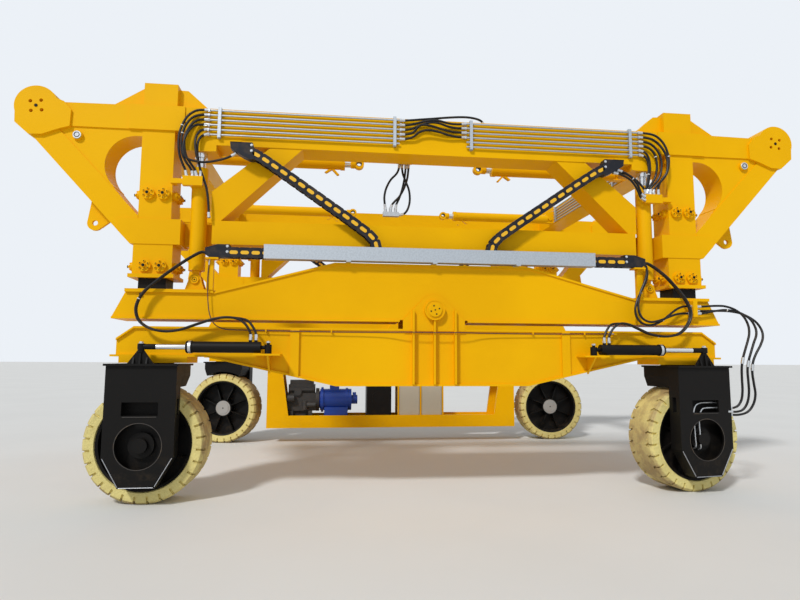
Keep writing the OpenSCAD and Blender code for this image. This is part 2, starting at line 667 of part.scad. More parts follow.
module outriggers() {
  color(YELLOW) on_both_sides() both_ends() difference() {
    union() {
      upright(-frame_w / 2, frame_w / 2) polygon([[node_x1, sleeve_top], [4660, sleeve_top], [4660, chord_top - 15], [node_x1, chord_top - 5]]);
      upright(-ear_half_d, ear_half_d) {
        translate([ear_x, ear_z]) circle(r = ear_r);
        translate([ear_x, ear_z]) polygon([
          [-410, -30], [-405, -240], [-280, -280], [-85, -360], [70, -365], [235, -220], [245, 0], [-320, 75]
        ]);
        translate([ear_x, ear_z]) polygon([[-320, 75], [0, 0], [0, 250], [-250, 100]]);
      }
      // Raked box from the collar up to the ear
      upright(-frame_w / 2 + 5, frame_w / 2 - 5) polygon([
        [column_x + sleeve_w / 2, collar_z1], [collar_x1, collar_z1], rake_foot, rake_head, [4690, 4530],
        [column_x + sleeve_w / 2, collar_z1 + 38]
      ]);
      upright(-frame_w / 2 + 18, frame_w / 2 - 18) difference() {
        polygon([[column_x + sleeve_w / 2, sleeve_top], [4690, sleeve_top], [4690, 4530], [column_x + sleeve_w / 2, collar_z1 + 38]]);
        translate([column_x + 250, port_z]) circle(r = port_r);
        polygon([
          [column_x, port_z], [column_x + 490, port_z - 20], [column_x + 510, port_z - 290],
          [column_x + sleeve_w / 2, collar_z1 + 18], [column_x, collar_z1 - 40]
        ]);
      }
      upright(-20, 20) {
        translate(lug_at) circle(r = 95);
        polygon([lug_at + [-80, -60], lug_at + [-200, 40], lug_at + [50, 310], lug_at + [92, 20]]);
      }
      both_faces() cross_bar(4471, 4466, 60, -frame_w / 2 - 15, -frame_w / 2 + 20);
    }
    for (i = [0:3]) {
      translate([ear_x, 0, ear_z]) rotate([0, 45 + 6.5 + 90 * i, 0]) translate([ear_bolt_pcd / 2, 0, 0])
        cross_bar(0, 0, ear_bolt_r, -ear_half_d - 1, -ear_half_d + 60);
    }
    cross_bar(lug_at[0], lug_at[1], lug_hole_r, -21, 21);
  }
}
low_chord_x = 2810;
module bottom_chords() {
  color(YELLOW) on_both_sides() {
    block([-low_chord_x, -frame_w / 2, collar_z0 + 20], [low_chord_x, frame_w / 2, collar_z1]);
    both_ends() block([low_chord_x, 25, collar_z0 + 20], [collar_x0, frame_w / 2, collar_z1]);
  }
}
module braces() {
  color(YELLOW) on_both_sides() both_ends() upright(-frame_w / 2 + 10, frame_w / 2 - 10) polygon([
    [low_chord_x + 20, collar_z1], [2710, collar_z1], [1710, chord_bottom], [2120, chord_bottom], [low_chord_x + 20, collar_z1 + 375]
  ]);
}
module cross_beams() {
  color(YELLOW) both_ends() block(
    [column_x - cross_w / 2, -half_gauge + frame_w / 2 + 15, sleeve_top], [column_x + cross_w / 2, half_gauge - frame_w / 2 - 15, chord_top + 5]);
}
module lift_rods() {
  color(CHROME) on_both_sides() both_ends() {
    translate([lift_cyl_x, lift_y, barrel_z0 + 100]) cylinder(r = lift_rod_r, h = rod_z1 - barrel_z0 - 100);
    translate([lift_cyl_x, lift_y, rod_z1 - 60]) cylinder(r = 80, h = 65);
  }
}

// Pipes along the upper chord
pipe_r = 12;
pipe_y = -frame_w / 2 - 30;
pipe_pitch = 64;
pipe_z0 = chord_bottom + 125;
pipe_x0 = 450;
pipe_x1 = node_x0 - 315;
cross_face = column_x - cross_w / 2;
cross_pipe_x = cross_face - 30;
cross_pipe_y = hoist_y - 110;
cross_clamp_y = [120 - cross_pipe_y, 0, cross_pipe_y - 100];
cross_pipe_z = sleeve_top + 20;
cross_pipe_pitch = 56;
module cross_pipes() {
  for (i = [0:5]) cross_bar(cross_pipe_x, cross_pipe_z + i * cross_pipe_pitch, pipe_r, -cross_pipe_y, cross_pipe_y);
  for (y = cross_clamp_y) {
    block([cross_pipe_x - 22, y - 20, cross_pipe_z - 18], [cross_pipe_x - pipe_r + 1, y + 20, cross_pipe_z + 5 * cross_pipe_pitch + 18]);
    for (i = [0:6]) {
      z = cross_pipe_z + (i - 0.5) * cross_pipe_pitch;
      if (z > sleeve_top && z < chord_top) {
        block([cross_pipe_x - pipe_r, y - 20, z - 12], [cross_face, y + 20, z + 12]);
      }
    }
  }
}
module pipe_runs() {
  color(GREY) cross_pipes();
  color(GREY) on_both_sides() both_ends() {
    for (i = [0:5]) long_bar(pipe_x0, pipe_x1, pipe_y, pipe_z0 + i * pipe_pitch, pipe_r);
    for (x = [pipe_x0 + 65, pipe_x1 - 120]) {
      block([x - 20, pipe_y - 22, pipe_z0 - 35], [x + 20, pipe_y - pipe_r, pipe_z0 + 5 * pipe_pitch + 35]);
      for (i = [0:6]) block([x - 20, pipe_y - pipe_r, pipe_z0 + (i - 0.5) * pipe_pitch - 14], [x + 20, -frame_w / 2, pipe_z0 + (i - 0.5) * pipe_pitch + 14]);
    }
  }
}

// Hoist cylinders hang on the cross beams and point along the side frames
hoist_z = 4680;
hoist_head_x = 3270;
hoist_tip_x = 930;
hoist_barrel_x0 = 1150;
module hoist_barrel() {
  color(YELLOW) difference() {
    union() {
      long_bar(hoist_barrel_x0, hoist_head_x - 110, 0, hoist_z, hoist_barrel_r);
      long_bar(hoist_head_x - 115, hoist_head_x - 30, 0, hoist_z, 50);
      upright(-55, 55) polygon([
        [cross_face, sleeve_top + 12], [cross_face, hoist_z + 170], [hoist_head_x - 130, hoist_z + 110],
        [hoist_head_x - 190, hoist_z + 40], [hoist_head_x - 190, hoist_z - 40], [hoist_head_x - 120, sleeve_top + 12]
      ]);
      cross_bar(hoist_head_x - 55, hoist_z, 40, -80, 80);
      long_bar(hoist_barrel_x0 - 5, hoist_barrel_x0 + 60, 0, hoist_z, hoist_barrel_r + 8);
      translate([hoist_barrel_x0 + 190, 0, hoist_z - hoist_barrel_r]) upright(-30, 30)
        polygon([[0, 30], [-110, -85], [-80, -95], [0, -10], [80, -65], [110, -55]]);
    }
    long_bar(hoist_barrel_x0 - 6, hoist_head_x - 200, 0, hoist_z, hoist_rod_r + run_fit);
  }
}
module hoist_barrels() {
  both_faces() translate([0, hoist_y, 0]) both_ends() hoist_barrel();
}
module hoist_rod(end, side) {
  translate([0, side * hoist_y, 0]) flip_if(end < 0, [1, 0, 0]) {
    color(CHROME) long_bar(hoist_tip_x + 60, hoist_head_x - 260, 0, hoist_z, hoist_rod_r);
    color(YELLOW) difference() {
      union() {
        long_bar(hoist_tip_x + 40, hoist_tip_x + 130, 0, hoist_z, 62);
        cross_bar(hoist_tip_x, hoist_z, 75, -45, 45);
      }
      cross_bar(hoist_tip_x, hoist_z, 35, -46, 46);
    }
  }
}

// Power pack cradle under the far axle beam
cradle_x = half_base - 870;
cradle_z0 = 300;
cradle_z1 = 550;
cradle_rail = 60;
cradle_half_d = flange_w / 2 + cradle_rail;
module cradle() {
  color(YELLOW) on_far() {
    for (y = [-cradle_half_d, cradle_half_d - cradle_rail]) {
      upright(y, y + cradle_rail) {
        polygon([[-cradle_x, cradle_z0], [cradle_x, cradle_z0], [cradle_x, cradle_z1], [-cradle_x, cradle_z1]]);
        both_ends_2d() polygon([
          [cradle_x, cradle_z1 - 1], [cradle_x, haunch_z(cradle_x) + 60],
          [cradle_x - 270, haunch_z(cradle_x - 270) + 60], [cradle_x - 440, cradle_z1 - 1]
        ]);
      }
    }
    block([-cradle_x, -cradle_half_d + cradle_rail - 1, cradle_z0 + 30], [cradle_x, cradle_half_d - cradle_rail + 1, cradle_z0 + 60]);
    cabinet_posts();
    both_ends() block([cradle_x - 300, -cradle_half_d + cradle_rail - 1, cradle_z0 + 60], [cradle_x, cradle_half_d - cradle_rail + 1, cradle_z1]);
  }
}
pack_floor = cradle_z0 + 60;
engine_x = 370 - cradle_x;
engine_l = 690;
motor_x = engine_x + engine_l + 20;
motor_l = 660;
tank_x = motor_x + motor_l + 320;
tank_l = 520;
cabinet_x = tank_x + tank_l + 170;
cabinet_l = 440;
cabinet_gap = 40;
crank_z = 860;
module engine() {
  color(BLACK) on_far() translate([engine_x, 0, 0]) {
    block([20, -180, 640], [engine_l - 60, 180, 1000]);
    block([50, -140, 999], [engine_l - 90, 140, 1180]);
    block([80, -95, 1179], [engine_l - 120, 95, 1270]);
    block([60, -120, 500], [engine_l - 150, 120, 641]);
    for (x = [90, 470]) block([x, -220, pack_floor], [x + 70, 220, 641]);
    long_bar(engine_l - 70, engine_l, 0, crank_z, 240);
    long_bar(-40, 30, 0, crank_z, 130);
    long_bar(-70, -30, 0, crank_z, 215);
    // Cover, filter, starter, alternator and manifold on the inboard side, air filter outboard
    cross_bar(250, 1030, 75, 170, 225);
    translate([400, 225, 660]) cylinder(r = 50, h = 180);
    block([370, 170, 790], [430, 230, 850]);
    long_bar(440, 620, 215, 760, 55);
    long_bar(40, 180, 240, 900, 75);
    block([60, 139, 1060], [engine_l - 100, 200, 1115]);
    long_bar(60, 420, -215, 1180, 90);
    block([150, -215, 1080], [330, -139, 1150]);
  }
}
radiator_x = -cradle_x + 180;
module radiator() {
  color(BLACK) on_far() difference() {
    block([radiator_x, -255, cradle_z1], [radiator_x + 70, 255, 1330]);
    block([radiator_x - 1, -215, cradle_z1 + 50], [radiator_x + 12, 215, 1280]);
    translate([radiator_x + 58, 0, crank_z]) rotate([0, 90, 0]) cylinder(r = 205, h = 20);
  }
}
module motor() {
  color(BLUE) on_far() translate([motor_x, 0, 0]) {
    long_bar(0, motor_l, 0, crank_z, 225);
    long_bar(-20 + seat_gap, 30, 0, crank_z, 180);
    long_bar(20, 70, 0, crank_z, 262);
    long_bar(motor_l - 120, motor_l - 70, 0, crank_z, 245);
    long_bar(motor_l - 1, motor_l + 130, 0, crank_z, 95);
    block([motor_l + 30, -80, crank_z - 80], [motor_l + 100, 80, crank_z + 150]);
    block([200, -110, crank_z + 150], [400, 110, crank_z + 300]);
    block([90, -200, pack_floor], [motor_l - 80, 200, crank_z - 150]);
  }
}
module oil_tank() {
  color(BLACK) on_far() translate([tank_x, 0, 0]) {
    block([0, -260, pack_floor + 60], [tank_l, 260, 1310]);
    for (x = [30, tank_l - 90]) block([x, -240, pack_floor], [x + 60, 240, pack_floor + 61]);
    translate([110, 120, 1309]) cylinder(r = 48, h = 45);
    translate([tank_l / 2, -60, 1309]) cylinder(r = 150, h = 15);
    cross_bar(tank_l / 2, 900, 150, 255, 272);
  }
}
module cabinets() {
  color(BEIGE) on_far() for (x = [cabinet_x, cabinet_x + cabinet_l + cabinet_gap]) {
    block([x, -250, pack_floor + 60], [x + cabinet_l, 250, 1340]);
    block([x + 25, -220, pack_floor], [x + cabinet_l - 25, 220, pack_floor + 61]);
    block([x + 20, 249, pack_floor + 85], [x + cabinet_l - 20, 262, 1315]);
  }
}
// Angle posts round the cabinets, up to the beam's underside
post_t = 30;
module cabinet_posts() {
  for (x = [cabinet_x - post_t - 4, cabinet_x + cabinet_l + (cabinet_gap - post_t) / 2, cabinet_x + 2 * cabinet_l + cabinet_gap + 4]) {
    for (y = [-262, 212]) block([x, y, pack_floor - 1], [x + post_t, y + 50, axle_belly]);
  }
}
// Packers lock the far axle beam to its saddle beam
module packers() {
  color(BLACK) on_far() both_ends() block([half_base - 340, -150, axle_top], [half_base - 190, 150, saddle_bottom]);
}

// Hoses: each route is a line of points in the machine's frame, with a ring of the tube at every point
hose_sides = 8;
hose_upper_left = [
  [-2880, -2720, 4801], [-2950, -2720, 4801], [-3030, -2733, 4785], [-3105, -2750, 4730], [-3165, -2765, 4630],
  [-3200, -2780, 4500], [-3200, -2790, 4370], [-3180, -2792, 4250], [-3140, -2785, 4160], [-3090, -2770, 4090],
  [-3060, -2755, 4030], [-3060, -2755, 3980]
];
hose_upper_right = [
  [2880, -2720, 4865], [2950, -2720, 4865], [3050, -2738, 4850], [3140, -2755, 4810], [3220, -2770, 4720],
  [3265, -2785, 4600], [3280, -2795, 4470], [3265, -2797, 4350], [3220, -2795, 4240], [3155, -2785, 4160],
  [3095, -2770, 4100], [3060, -2755, 4030], [3060, -2755, 3980]
];
hose_lower_left = [
  [-2850, -2785, 3015], [-2920, -2785, 3015], [-3040, -2800, 2940], [-3170, -2820, 2840], [-3300, -2840, 2730],
  [-3430, -2860, 2610], [-3530, -2870, 2510], [-3590, -2880, 2400], [-3610, -2885, 2290], [-3580, -2885, 2180],
  [-3500, -2885, 2100], [-3380, -2885, 2050], [-3240, -2885, 2035], [-3080, -2885, 2060], [-2900, -2885, 2125],
  [-2720, -2890, 2185], [-2560, -2900, 2210], [-2420, -2910, 2190], [-2320, -2920, 2120], [-2261, -2920, 2010],
  [-2261, -2920, 1937]
];
hose_lower_right = [
  [2850, -2785, 3015], [2920, -2785, 3015], [3030, -2800, 2945], [3150, -2820, 2840], [3260, -2840, 2710],
  [3350, -2855, 2590], [3410, -2870, 2480], [3440, -2885, 2370], [3420, -2895, 2260], [3350, -2900, 2150],
  [3250, -2905, 2070], [3120, -2905, 2035], [2980, -2905, 2035], [2830, -2905, 2065], [2680, -2905, 2130],
  [2540, -2905, 2185], [2420, -2910, 2190], [2320, -2920, 2120], [2261, -2920, 2010], [2261, -2920, 1937]
];
hose_bay = [
  [-360, -2250, 4440], [-360, -2250, 4370], [-345, -2250, 4280], [-305, -2250, 4180], [-265, -2250, 4075],
  [-250, -2250, 3970], [-255, -2250, 3875], [-280, -2250, 3790], [-318, -2250, 3735], [-365, -2250, 3710],
  [-405, -2250, 3710]
];
function heading(route, i) = unit(route[min(i + 1, len(route) - 1)] - route[max(i - 1, 0)]);
function hose_ring(route, i) = let (t = heading(route, i), side = unit(cross(t, [0, 1, 0])), over = cross(side, t))
  [for (k = [0:hose_sides - 1]) route[i] + hose_r * (side * cos(360 * k / hose_sides) + over * sin(360 * k / hose_sides))];
module hose(route) {
  n = len(route);
  color(BLACK) polyhedron(
    points = [for (i = [0:n - 1]) each hose_ring(route, i)],
    faces = concat(
      [[for (k = [0:hose_sides - 1]) k], [for (k = [hose_sides - 1:-1:0]) (n - 1) * hose_sides + k]],
      [for (i = [0:n - 2], k = [0:hose_sides - 1], half = [0, 1])
        let (a = i * hose_sides + k, b = i * hose_sides + (k + 1) % hose_sides, c = a + hose_sides, d = b + hose_sides)
          half == 0 ? [a, c, d] : [a, d, b]]
    )
  );
}
// Coupling block on the free end of the hose that hangs into the bay
module bay_coupler() {
  color(GREY) {
    block([-625, -2285, 3680], [-405, -2215, 3740]);
    for (x = [-590, -520, -450]) translate([x, -2250, 3739]) cylinder(r = 22, h = 40);
  }
}

on_far() saddle_beam();  // far_saddle_beam
on_far() inner_columns();  // far_columns
on_far() lift_barrels();  // far_lift_barrels
on_far() chain_tray();  // far_chain_tray
on_far() lower_chains();  // far_lower_chains
on_far() color(YELLOW) axle_beam();  // far_axle_beam
packers();  // far_packers
on_far() pivot_pin();  // far_pivot_pin
on_far() steer_barrels();  // far_steer_barrels
cradle();
radiator();
engine();
motor();
oil_tank();
cabinets();
top_chords();
outriggers();
column_sleeves();
bottom_chords();
braces();
cross_beams();
pipe_runs();
lift_rods();
hoist_barrels();
on_near() upper_chains();  // near_upper_chains
on_far() upper_chains();  // far_upper_chains
hoist_rod(-1, -1);  // hoist_rod_near_left
hoist_rod(1, -1);  // hoist_rod_near_right
hoist_rod(-1, 1);  // hoist_rod_far_left
hoist_rod(1, 1);  // hoist_rod_far_right
on_near() near_saddle_beam();
on_near() inner_columns();  // near_columns
on_near() lift_barrels();  // near_lift_barrels
on_near() chain_tray();  // near_chain_tray
on_near() lower_chains();  // near_lower_chains
on_near() color(YELLOW) axle_beam();  // near_axle_beam
on_near() pivot_pin();  // near_pivot_pin
on_near() steer_barrels();  // near_steer_barrels
fork(near_left);  // fork_near_left
fork(near_right);  // fork_near_right
fork(far_left);  // fork_far_left
fork(far_right);  // fork_far_right
rim(near_left);  // rim_near_left
rim(near_right);  // rim_near_right
rim(far_left);  // rim_far_left
rim(far_right);  // rim_far_right
tyre(near_left);  // tyre_near_left
tyre(near_right);  // tyre_near_right
tyre(far_left);  // tyre_far_left
tyre(far_right);  // tyre_far_right
steer_rod(near_left);  // steer_rod_near_left
steer_rod(near_right);  // steer_rod_near_right
steer_rod(far_left);  // steer_rod_far_left
steer_rod(far_right);  // steer_rod_far_right
hose(hose_upper_left);
hose(hose_upper_right);
hose(hose_lower_left);
hose(hose_lower_right);
hose(hose_bay);
bay_coupler();
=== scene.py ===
import json
import math

import bpy
import numpy as np
from mathutils import Matrix, Vector


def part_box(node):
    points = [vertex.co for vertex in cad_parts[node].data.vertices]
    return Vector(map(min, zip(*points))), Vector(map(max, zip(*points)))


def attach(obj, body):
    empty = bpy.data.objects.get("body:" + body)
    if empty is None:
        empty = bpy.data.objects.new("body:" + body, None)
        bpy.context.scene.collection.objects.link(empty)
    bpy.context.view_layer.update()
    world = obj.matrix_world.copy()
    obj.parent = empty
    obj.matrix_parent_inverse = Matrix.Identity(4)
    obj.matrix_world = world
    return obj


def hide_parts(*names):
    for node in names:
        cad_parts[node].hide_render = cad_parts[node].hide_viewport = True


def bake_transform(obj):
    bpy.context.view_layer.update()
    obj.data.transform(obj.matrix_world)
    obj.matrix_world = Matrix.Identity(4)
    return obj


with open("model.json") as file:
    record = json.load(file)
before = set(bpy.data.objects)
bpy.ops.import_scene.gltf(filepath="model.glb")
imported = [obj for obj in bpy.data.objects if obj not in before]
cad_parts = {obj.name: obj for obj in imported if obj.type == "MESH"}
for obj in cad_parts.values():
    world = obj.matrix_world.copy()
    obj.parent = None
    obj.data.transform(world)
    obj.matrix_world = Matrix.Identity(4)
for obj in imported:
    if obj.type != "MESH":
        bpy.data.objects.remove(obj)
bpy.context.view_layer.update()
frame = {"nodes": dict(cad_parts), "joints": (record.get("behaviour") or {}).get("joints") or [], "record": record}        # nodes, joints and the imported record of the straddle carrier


# Places and sizes that come from the imported frame, in metres

JOINTS = {joint["name"]: joint for joint in frame["joints"]}
CORNERS = ("near_left", "near_right", "far_left", "far_right")
KINGPIN = {corner: np.array(JOINTS["steer_" + corner]["pos_m"]) for corner in CORNERS}
HALF_BASE = abs(KINGPIN["near_left"][0])
HALF_GAUGE = abs(KINGPIN["near_left"][1])
WHEEL_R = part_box("tyre_near_left")[1].z / 2
ROLL_AXIS = {corner: JOINTS["roll_" + corner]["axis"] for corner in CORNERS}
TURN = {corner: math.degrees(math.atan2(-axis[0], axis[1])) for corner, axis in ROLL_AXIS.items()}


# Placing: 4 x 4 matrices that act on columns, combined with @

def shift(x=0.0, y=0.0, z=0.0):
    """The matrix that adds (x, y, z)."""
    matrix = np.eye(4)
    matrix[:3, 3] = x, y, z
    return matrix


def turn(axis, degrees):
    """The rotation by that angle about the axis named X, Y or Z."""
    return np.array(Matrix.Rotation(math.radians(degrees), 4, axis))


def scale(x=1.0, y=1.0, z=1.0):
    """The matrix that multiplies each coordinate, also by -1 to mirror."""
    return np.diag([x, y, z, 1.0])


def each(*matrices):
    """Several matrices as one array, for Shape.at."""
    return np.array(matrices)


def corner_frame(corner, turned=True):
    """Takes a corner's own frame, +X to the machine's end, -Y outboard and the kingpin on the Z axis, to its
    place: mirror by the corner's end and side, turn by its wheel's rest angle, shift to the kingpin."""
    x, y, _ = KINGPIN[corner]
    mirrored = scale(math.copysign(1, x), -math.copysign(1, y))
    return shift(x, y) @ turn("Z", TURN[corner] if turned else 0) @ mirrored


def side_frame(side):
    """Takes a side frame's centre plane, -Y outboard, to the near or the far side."""
    return shift(y=-HALF_GAUGE) if side == "near" else scale(y=-1) @ shift(y=-HALF_GAUGE)


# A shape and its mirror image at the other end, or on the other face
ENDS = each(np.eye(4), scale(x=-1))
FACES = each(np.eye(4), scale(y=-1))

# What points along +Z turns to point outboard, inboard, or along X
OUTBOARD = turn("X", 90)
INBOARD = turn("X", -90)
TO_END = turn("Y", 90)
TO_MIDDLE = turn("Y", -90)


# Shapes: arrays of points and faces

class Shape:
    """Closed forms as arrays: points (n, 3), the point number and the uv pair of each face corner, the
    number of corners of each face and the finish of each face."""

    def __init__(self, points, corners, sizes, uv=None, finish=0):
        self.points = np.asarray(points, float).reshape(-1, 3)
        self.corners = np.asarray(corners, int).ravel()
        self.sizes = np.asarray(sizes, int).ravel()
        self.uv = np.zeros((len(self.corners), 2)) if uv is None else np.asarray(uv, float).reshape(-1, 2)
        self.finish = np.array(np.broadcast_to(finish, len(self.sizes)), int)

    def starts(self):
        """The place of each face's first corner: the running sum of the sizes before it."""
        return np.cumsum(self.sizes) - self.sizes

    def turned(self):
        """The corner order with every face turned round: corner k of n becomes corner n - 1 - k."""
        first = np.repeat(self.starts(), self.sizes)
        return first + np.repeat(self.sizes, self.sizes) - 1 - (np.arange(len(self.corners)) - first)

    def outward(self):
        """The shape with its faces outwards: the signed volume is the sum over face corners p, with the
        next corner q and the face's first corner o, of o . (p x q) / 6, and where it is negative all faces
        turn."""
        first = np.repeat(self.starts(), self.sizes)
        last = first + np.repeat(self.sizes, self.sizes) - 1
        place = np.arange(len(self.corners))
        after = np.where(place == last, first, place + 1)
        o, p, q = (self.points[self.corners[k]] for k in (first, place, after))
        if np.einsum("ij,ij->", o, np.cross(p, q)) < 0:
            order = self.turned()
            return Shape(self.points, self.corners[order], self.sizes, self.uv[order], self.finish)
        return self

    def at(self, matrices):
        """A copy for each 4 x 4 matrix: the point p goes to R p + t, and where R mirrors the faces turn."""
        matrices = np.asarray(matrices, float).reshape(-1, 4, 4)
        count = len(matrices)
        points = np.einsum("mij,nj->mni", matrices[:, :3, :3], self.points) + matrices[:, None, :3, 3]
        mirrored = np.linalg.det(matrices[:, :3, :3]) < 0
        order = np.where(mirrored[:, None], self.turned(), np.arange(len(self.corners)))
        corners = self.corners[order] + np.arange(count)[:, None] * len(self.points)
        return Shape(points, corners, np.tile(self.sizes, count), self.uv[order], np.tile(self.finish, count))

    def painted(self, finish):
        """The same shape in another finish."""
        return Shape(self.points, self.corners, self.sizes, self.uv, finish)


def join(*shapes):
    """One shape of several: the arrays end to end, with the point numbers moved up."""
    shifts = np.cumsum([0] + [len(s.points) for s in shapes[:-1]])
    return Shape(
        np.concatenate([s.points for s in shapes]),
        np.concatenate([s.corners + k for s, k in zip(shapes, shifts)]),
        np.concatenate([s.sizes for s in shapes]),
        np.concatenate([s.uv for s in shapes]),
        np.concatenate([s.finish for s in shapes]),
    )


def surface(points, round_u=False, round_v=False, caps=False, uv=None, finish=0):
    """A grid of points (nu, nv, 3) as quads (u, v), (u + 1, v), (u + 1, v + 1), (u, v + 1), joined end to
    start where a direction is round. With caps, the first and last rings along u are closed by one face
    each."""
    nu, nv = points.shape[:2]
    number = np.arange(nu * nv).reshape(nu, nv)
    across = np.concatenate([number, number[:1]]) if round_u else number
    across = np.concatenate([across, across[:, :1]], axis=1) if round_v else across
    quads = np.stack([across[:-1, :-1], across[1:, :-1], across[1:, 1:], across[:-1, 1:]], axis=-1)
    corners, sizes = [quads.ravel()], [np.full(quads[..., 0].size, 4)]
    if caps:
        corners += [number[0], number[-1, ::-1]]
        sizes += [[nv], [nv]]
    corners, sizes = np.concatenate(corners), np.concatenate(sizes)
    pairs = None
    if uv is not None:
        rows, columns = uv.shape[:2]
        slot = np.arange(rows * columns).reshape(rows, columns)
        pairs = np.zeros((len(corners), 2))
        cells = np.stack([slot[:-1, :-1], slot[1:, :-1], slot[1:, 1:], slot[:-1, 1:]], axis=-1).ravel()
        pairs[: len(cells)] = uv.reshape(-1, 2)[cells]
    return Shape(points, corners, sizes, pairs, finish).outward()


def lathe(profile, turns=48, closed=False, finish=0):
    """Revolves (radius, height) pairs about Z: the point at turn a is (r cos a, r sin a, h). An open
    profile is closed by a flat face at each end; a closed one comes back to its start."""
    r, h = np.asarray(profile, float).T
    a = np.linspace(0, 2 * np.pi, turns, endpoint=False)
    points = np.stack([np.outer(r, np.cos(a)), np.outer(r, np.sin(a)), np.outer(h, np.ones(turns))], axis=-1)
    return surface(points, round_u=closed, round_v=True, caps=not closed, finish=finish)


def rod(radius, low, high, turns=24, finish=0):
    """A round bar along Z with a chamfer of 12% of its radius or its length at both ends."""
    edge = min(radius, high - low) * 0.12
    return lathe(
        [(radius - edge, low), (radius, low + edge), (radius, high - edge), (radius - edge, high)],
        turns, finish=finish,
    )


def extrusion(outline, low, high, finish=0):
    """An outline (n, 2) in the XZ plane carried along Y from low to high, with a flat face at each end."""
    outline = np.asarray(outline, float)
    points = np.array([[(x, y, z) for x, z in outline] for y in (low, high)])
    return surface(points, round_v=True, caps=True, finish=finish)


def block(low, high, finish=0):
    """A box between two opposite corners."""
    (x0, y0, z0), (x1, y1, z1) = low, high
    return extrusion([(x0, z0), (x1, z0), (x1, z1), (x0, z1)], y0, y1, finish)


def middle_block(half, finish=0):
    """A box about the origin from its half sizes."""
    return block([-size for size in half], half, finish)


def stadium(length, height, steps=6):
    """A slot outline: half circles of radius height / 2 about (+-(length - height) / 2, 0)."""
    a = np.linspace(-np.pi / 2, np.pi / 2, steps)
    right = np.stack([(length - height) / 2 + height / 2 * np.cos(a), height / 2 * np.sin(a)], axis=1)
    return np.concatenate([right, -right])


def curve(points, steps=6):
    """Catmull-Rom curve through points (n, 3). Between b and c, with the points a before and d after them,
    the place at t is b + t (c - a) / 2 + t^2 (2a - 5b + 4c - d) / 2 + t^3 (3b - a - 3c + d) / 2."""
    p = np.asarray(points, float)
    p = np.concatenate([2 * p[:1] - p[1:2], p, 2 * p[-1:] - p[-2:-1]])
    a, b, c, d = (p[k: len(p) - 3 + k, None] for k in range(4))
    t = np.linspace(0, 1, steps, endpoint=False)[None, :, None]
    square = 2 * a - 5 * b + 4 * c - d
    cube = 3 * b - a - 3 * c + d
    spans = b + t * (c - a) / 2 + t ** 2 * square / 2 + t ** 3 * cube / 2
    return np.concatenate([spans.reshape(-1, 3), p[-2:-1]])


def length_along(path):
    """The distance from the path's first point to each of its points, the running sum of the steps."""
    return np.concatenate([[0], np.cumsum(np.linalg.norm(np.diff(path, axis=0), axis=1))])


def evenly(path, places):
    """Points at the given distances along a path, by linear interpolation of each coordinate."""
    along = length_along(path)
    return np.stack([np.interp(places, along, path[:, k]) for k in range(3)], axis=1)


def directions(path):
    """Unit tangents: the difference of each point's two neighbours, over its length."""
    t = np.gradient(path, axis=0)
    return t / np.linalg.norm(t, axis=1, keepdims=True)


def frames_along(path):
    """Tangent, side and up at each point: side = tangent x reference and up = side x tangent, where the
    reference is the coordinate axis that stays farthest from the tangents."""
    tangent = directions(path)
    reference = np.eye(3)[np.argmin(np.abs(tangent).max(axis=0))]
    side = np.cross(tangent, reference)
    side /= np.linalg.norm(side, axis=1, keepdims=True)
    return tangent, side, np.cross(side, tangent)


def tube(path, radius, sides=10, finish=0):
    """A round tube: ring k is path_k + r_k (side_k cos a + up_k sin a), with flat ends. The uv pair is the
    distance along the path and the distance round it."""
    path = np.asarray(path, float)
    _, side, up = frames_along(path)
    radius = np.broadcast_to(radius, len(path))[:, None, None]
    a = np.linspace(0, 2 * np.pi, sides, endpoint=False)[None, :, None]
    points = path[:, None] + radius * (side[:, None] * np.cos(a) + up[:, None] * np.sin(a))
    along = np.repeat(length_along(path)[:, None], sides + 1, 1)
    around = np.linspace(0, 2 * np.pi * float(radius.mean()), sides + 1)[None].repeat(len(path), 0)
    return surface(points, round_v=True, caps=True, uv=np.stack([along, around], axis=-1), finish=finish)


def bolt(radius=0.018, height=0.014, finish=0):
    """A bolt head on a washer, along +Z from z = 0: two discs and a six-sided prism above them."""
    washer = lathe([(radius * 1.25, 0), (radius * 1.25, height * 0.2)], 12, finish=finish)
    head = lathe([(radius, height * 0.2), (radius, height * 0.85), (radius * 0.86, height)], 6, finish=finish)
    return join(washer, head)


def ring_of(shape, count, radius, start=0.0):
    """Copies of a shape at equal turns about Z, each moved out by the radius first."""
    angles = start + np.arange(count) * 360 / count
    return shape.at(np.array([turn("Z", a) @ shift(x=radius) for a in angles]))


# Finishes: shader trees, with what varies over the surface as fields

class Field:
    """A value that varies over a surface: a node socket, on which arithmetic adds Math nodes."""

    def __init__(self, finish, socket):
        self.finish = finish
        self.socket = socket

    def maths(self, operation, *values):
        """One Math node on the values, in their order."""
        return self.finish.add("ShaderNodeMath", {"operation": operation}, dict(enumerate(values)))

    def __add__(self, other):
        return self.maths("ADD", self, other)

    def __sub__(self, other):
        return self.maths("SUBTRACT", self, other)

    def __rsub__(self, other):
        return self.maths("SUBTRACT", other, self)

    def __mul__(self, other):
        return self.maths("MULTIPLY", self, other)

    __radd__ = __add__
    __rmul__ = __mul__

    def clamped(self, low, high):
        """0 at low, 1 at high, smooth between them."""
        inputs = {"Value": self, "From Min": low, "From Max": high}
        return self.finish.add("ShaderNodeMapRange", {"interpolation_type": "SMOOTHSTEP"}, inputs)


# The colour sockets of a Mix node, by number: its two inputs and its result
MIX_FIRST, MIX_SECOND, MIX_RESULT = 6, 7, 2


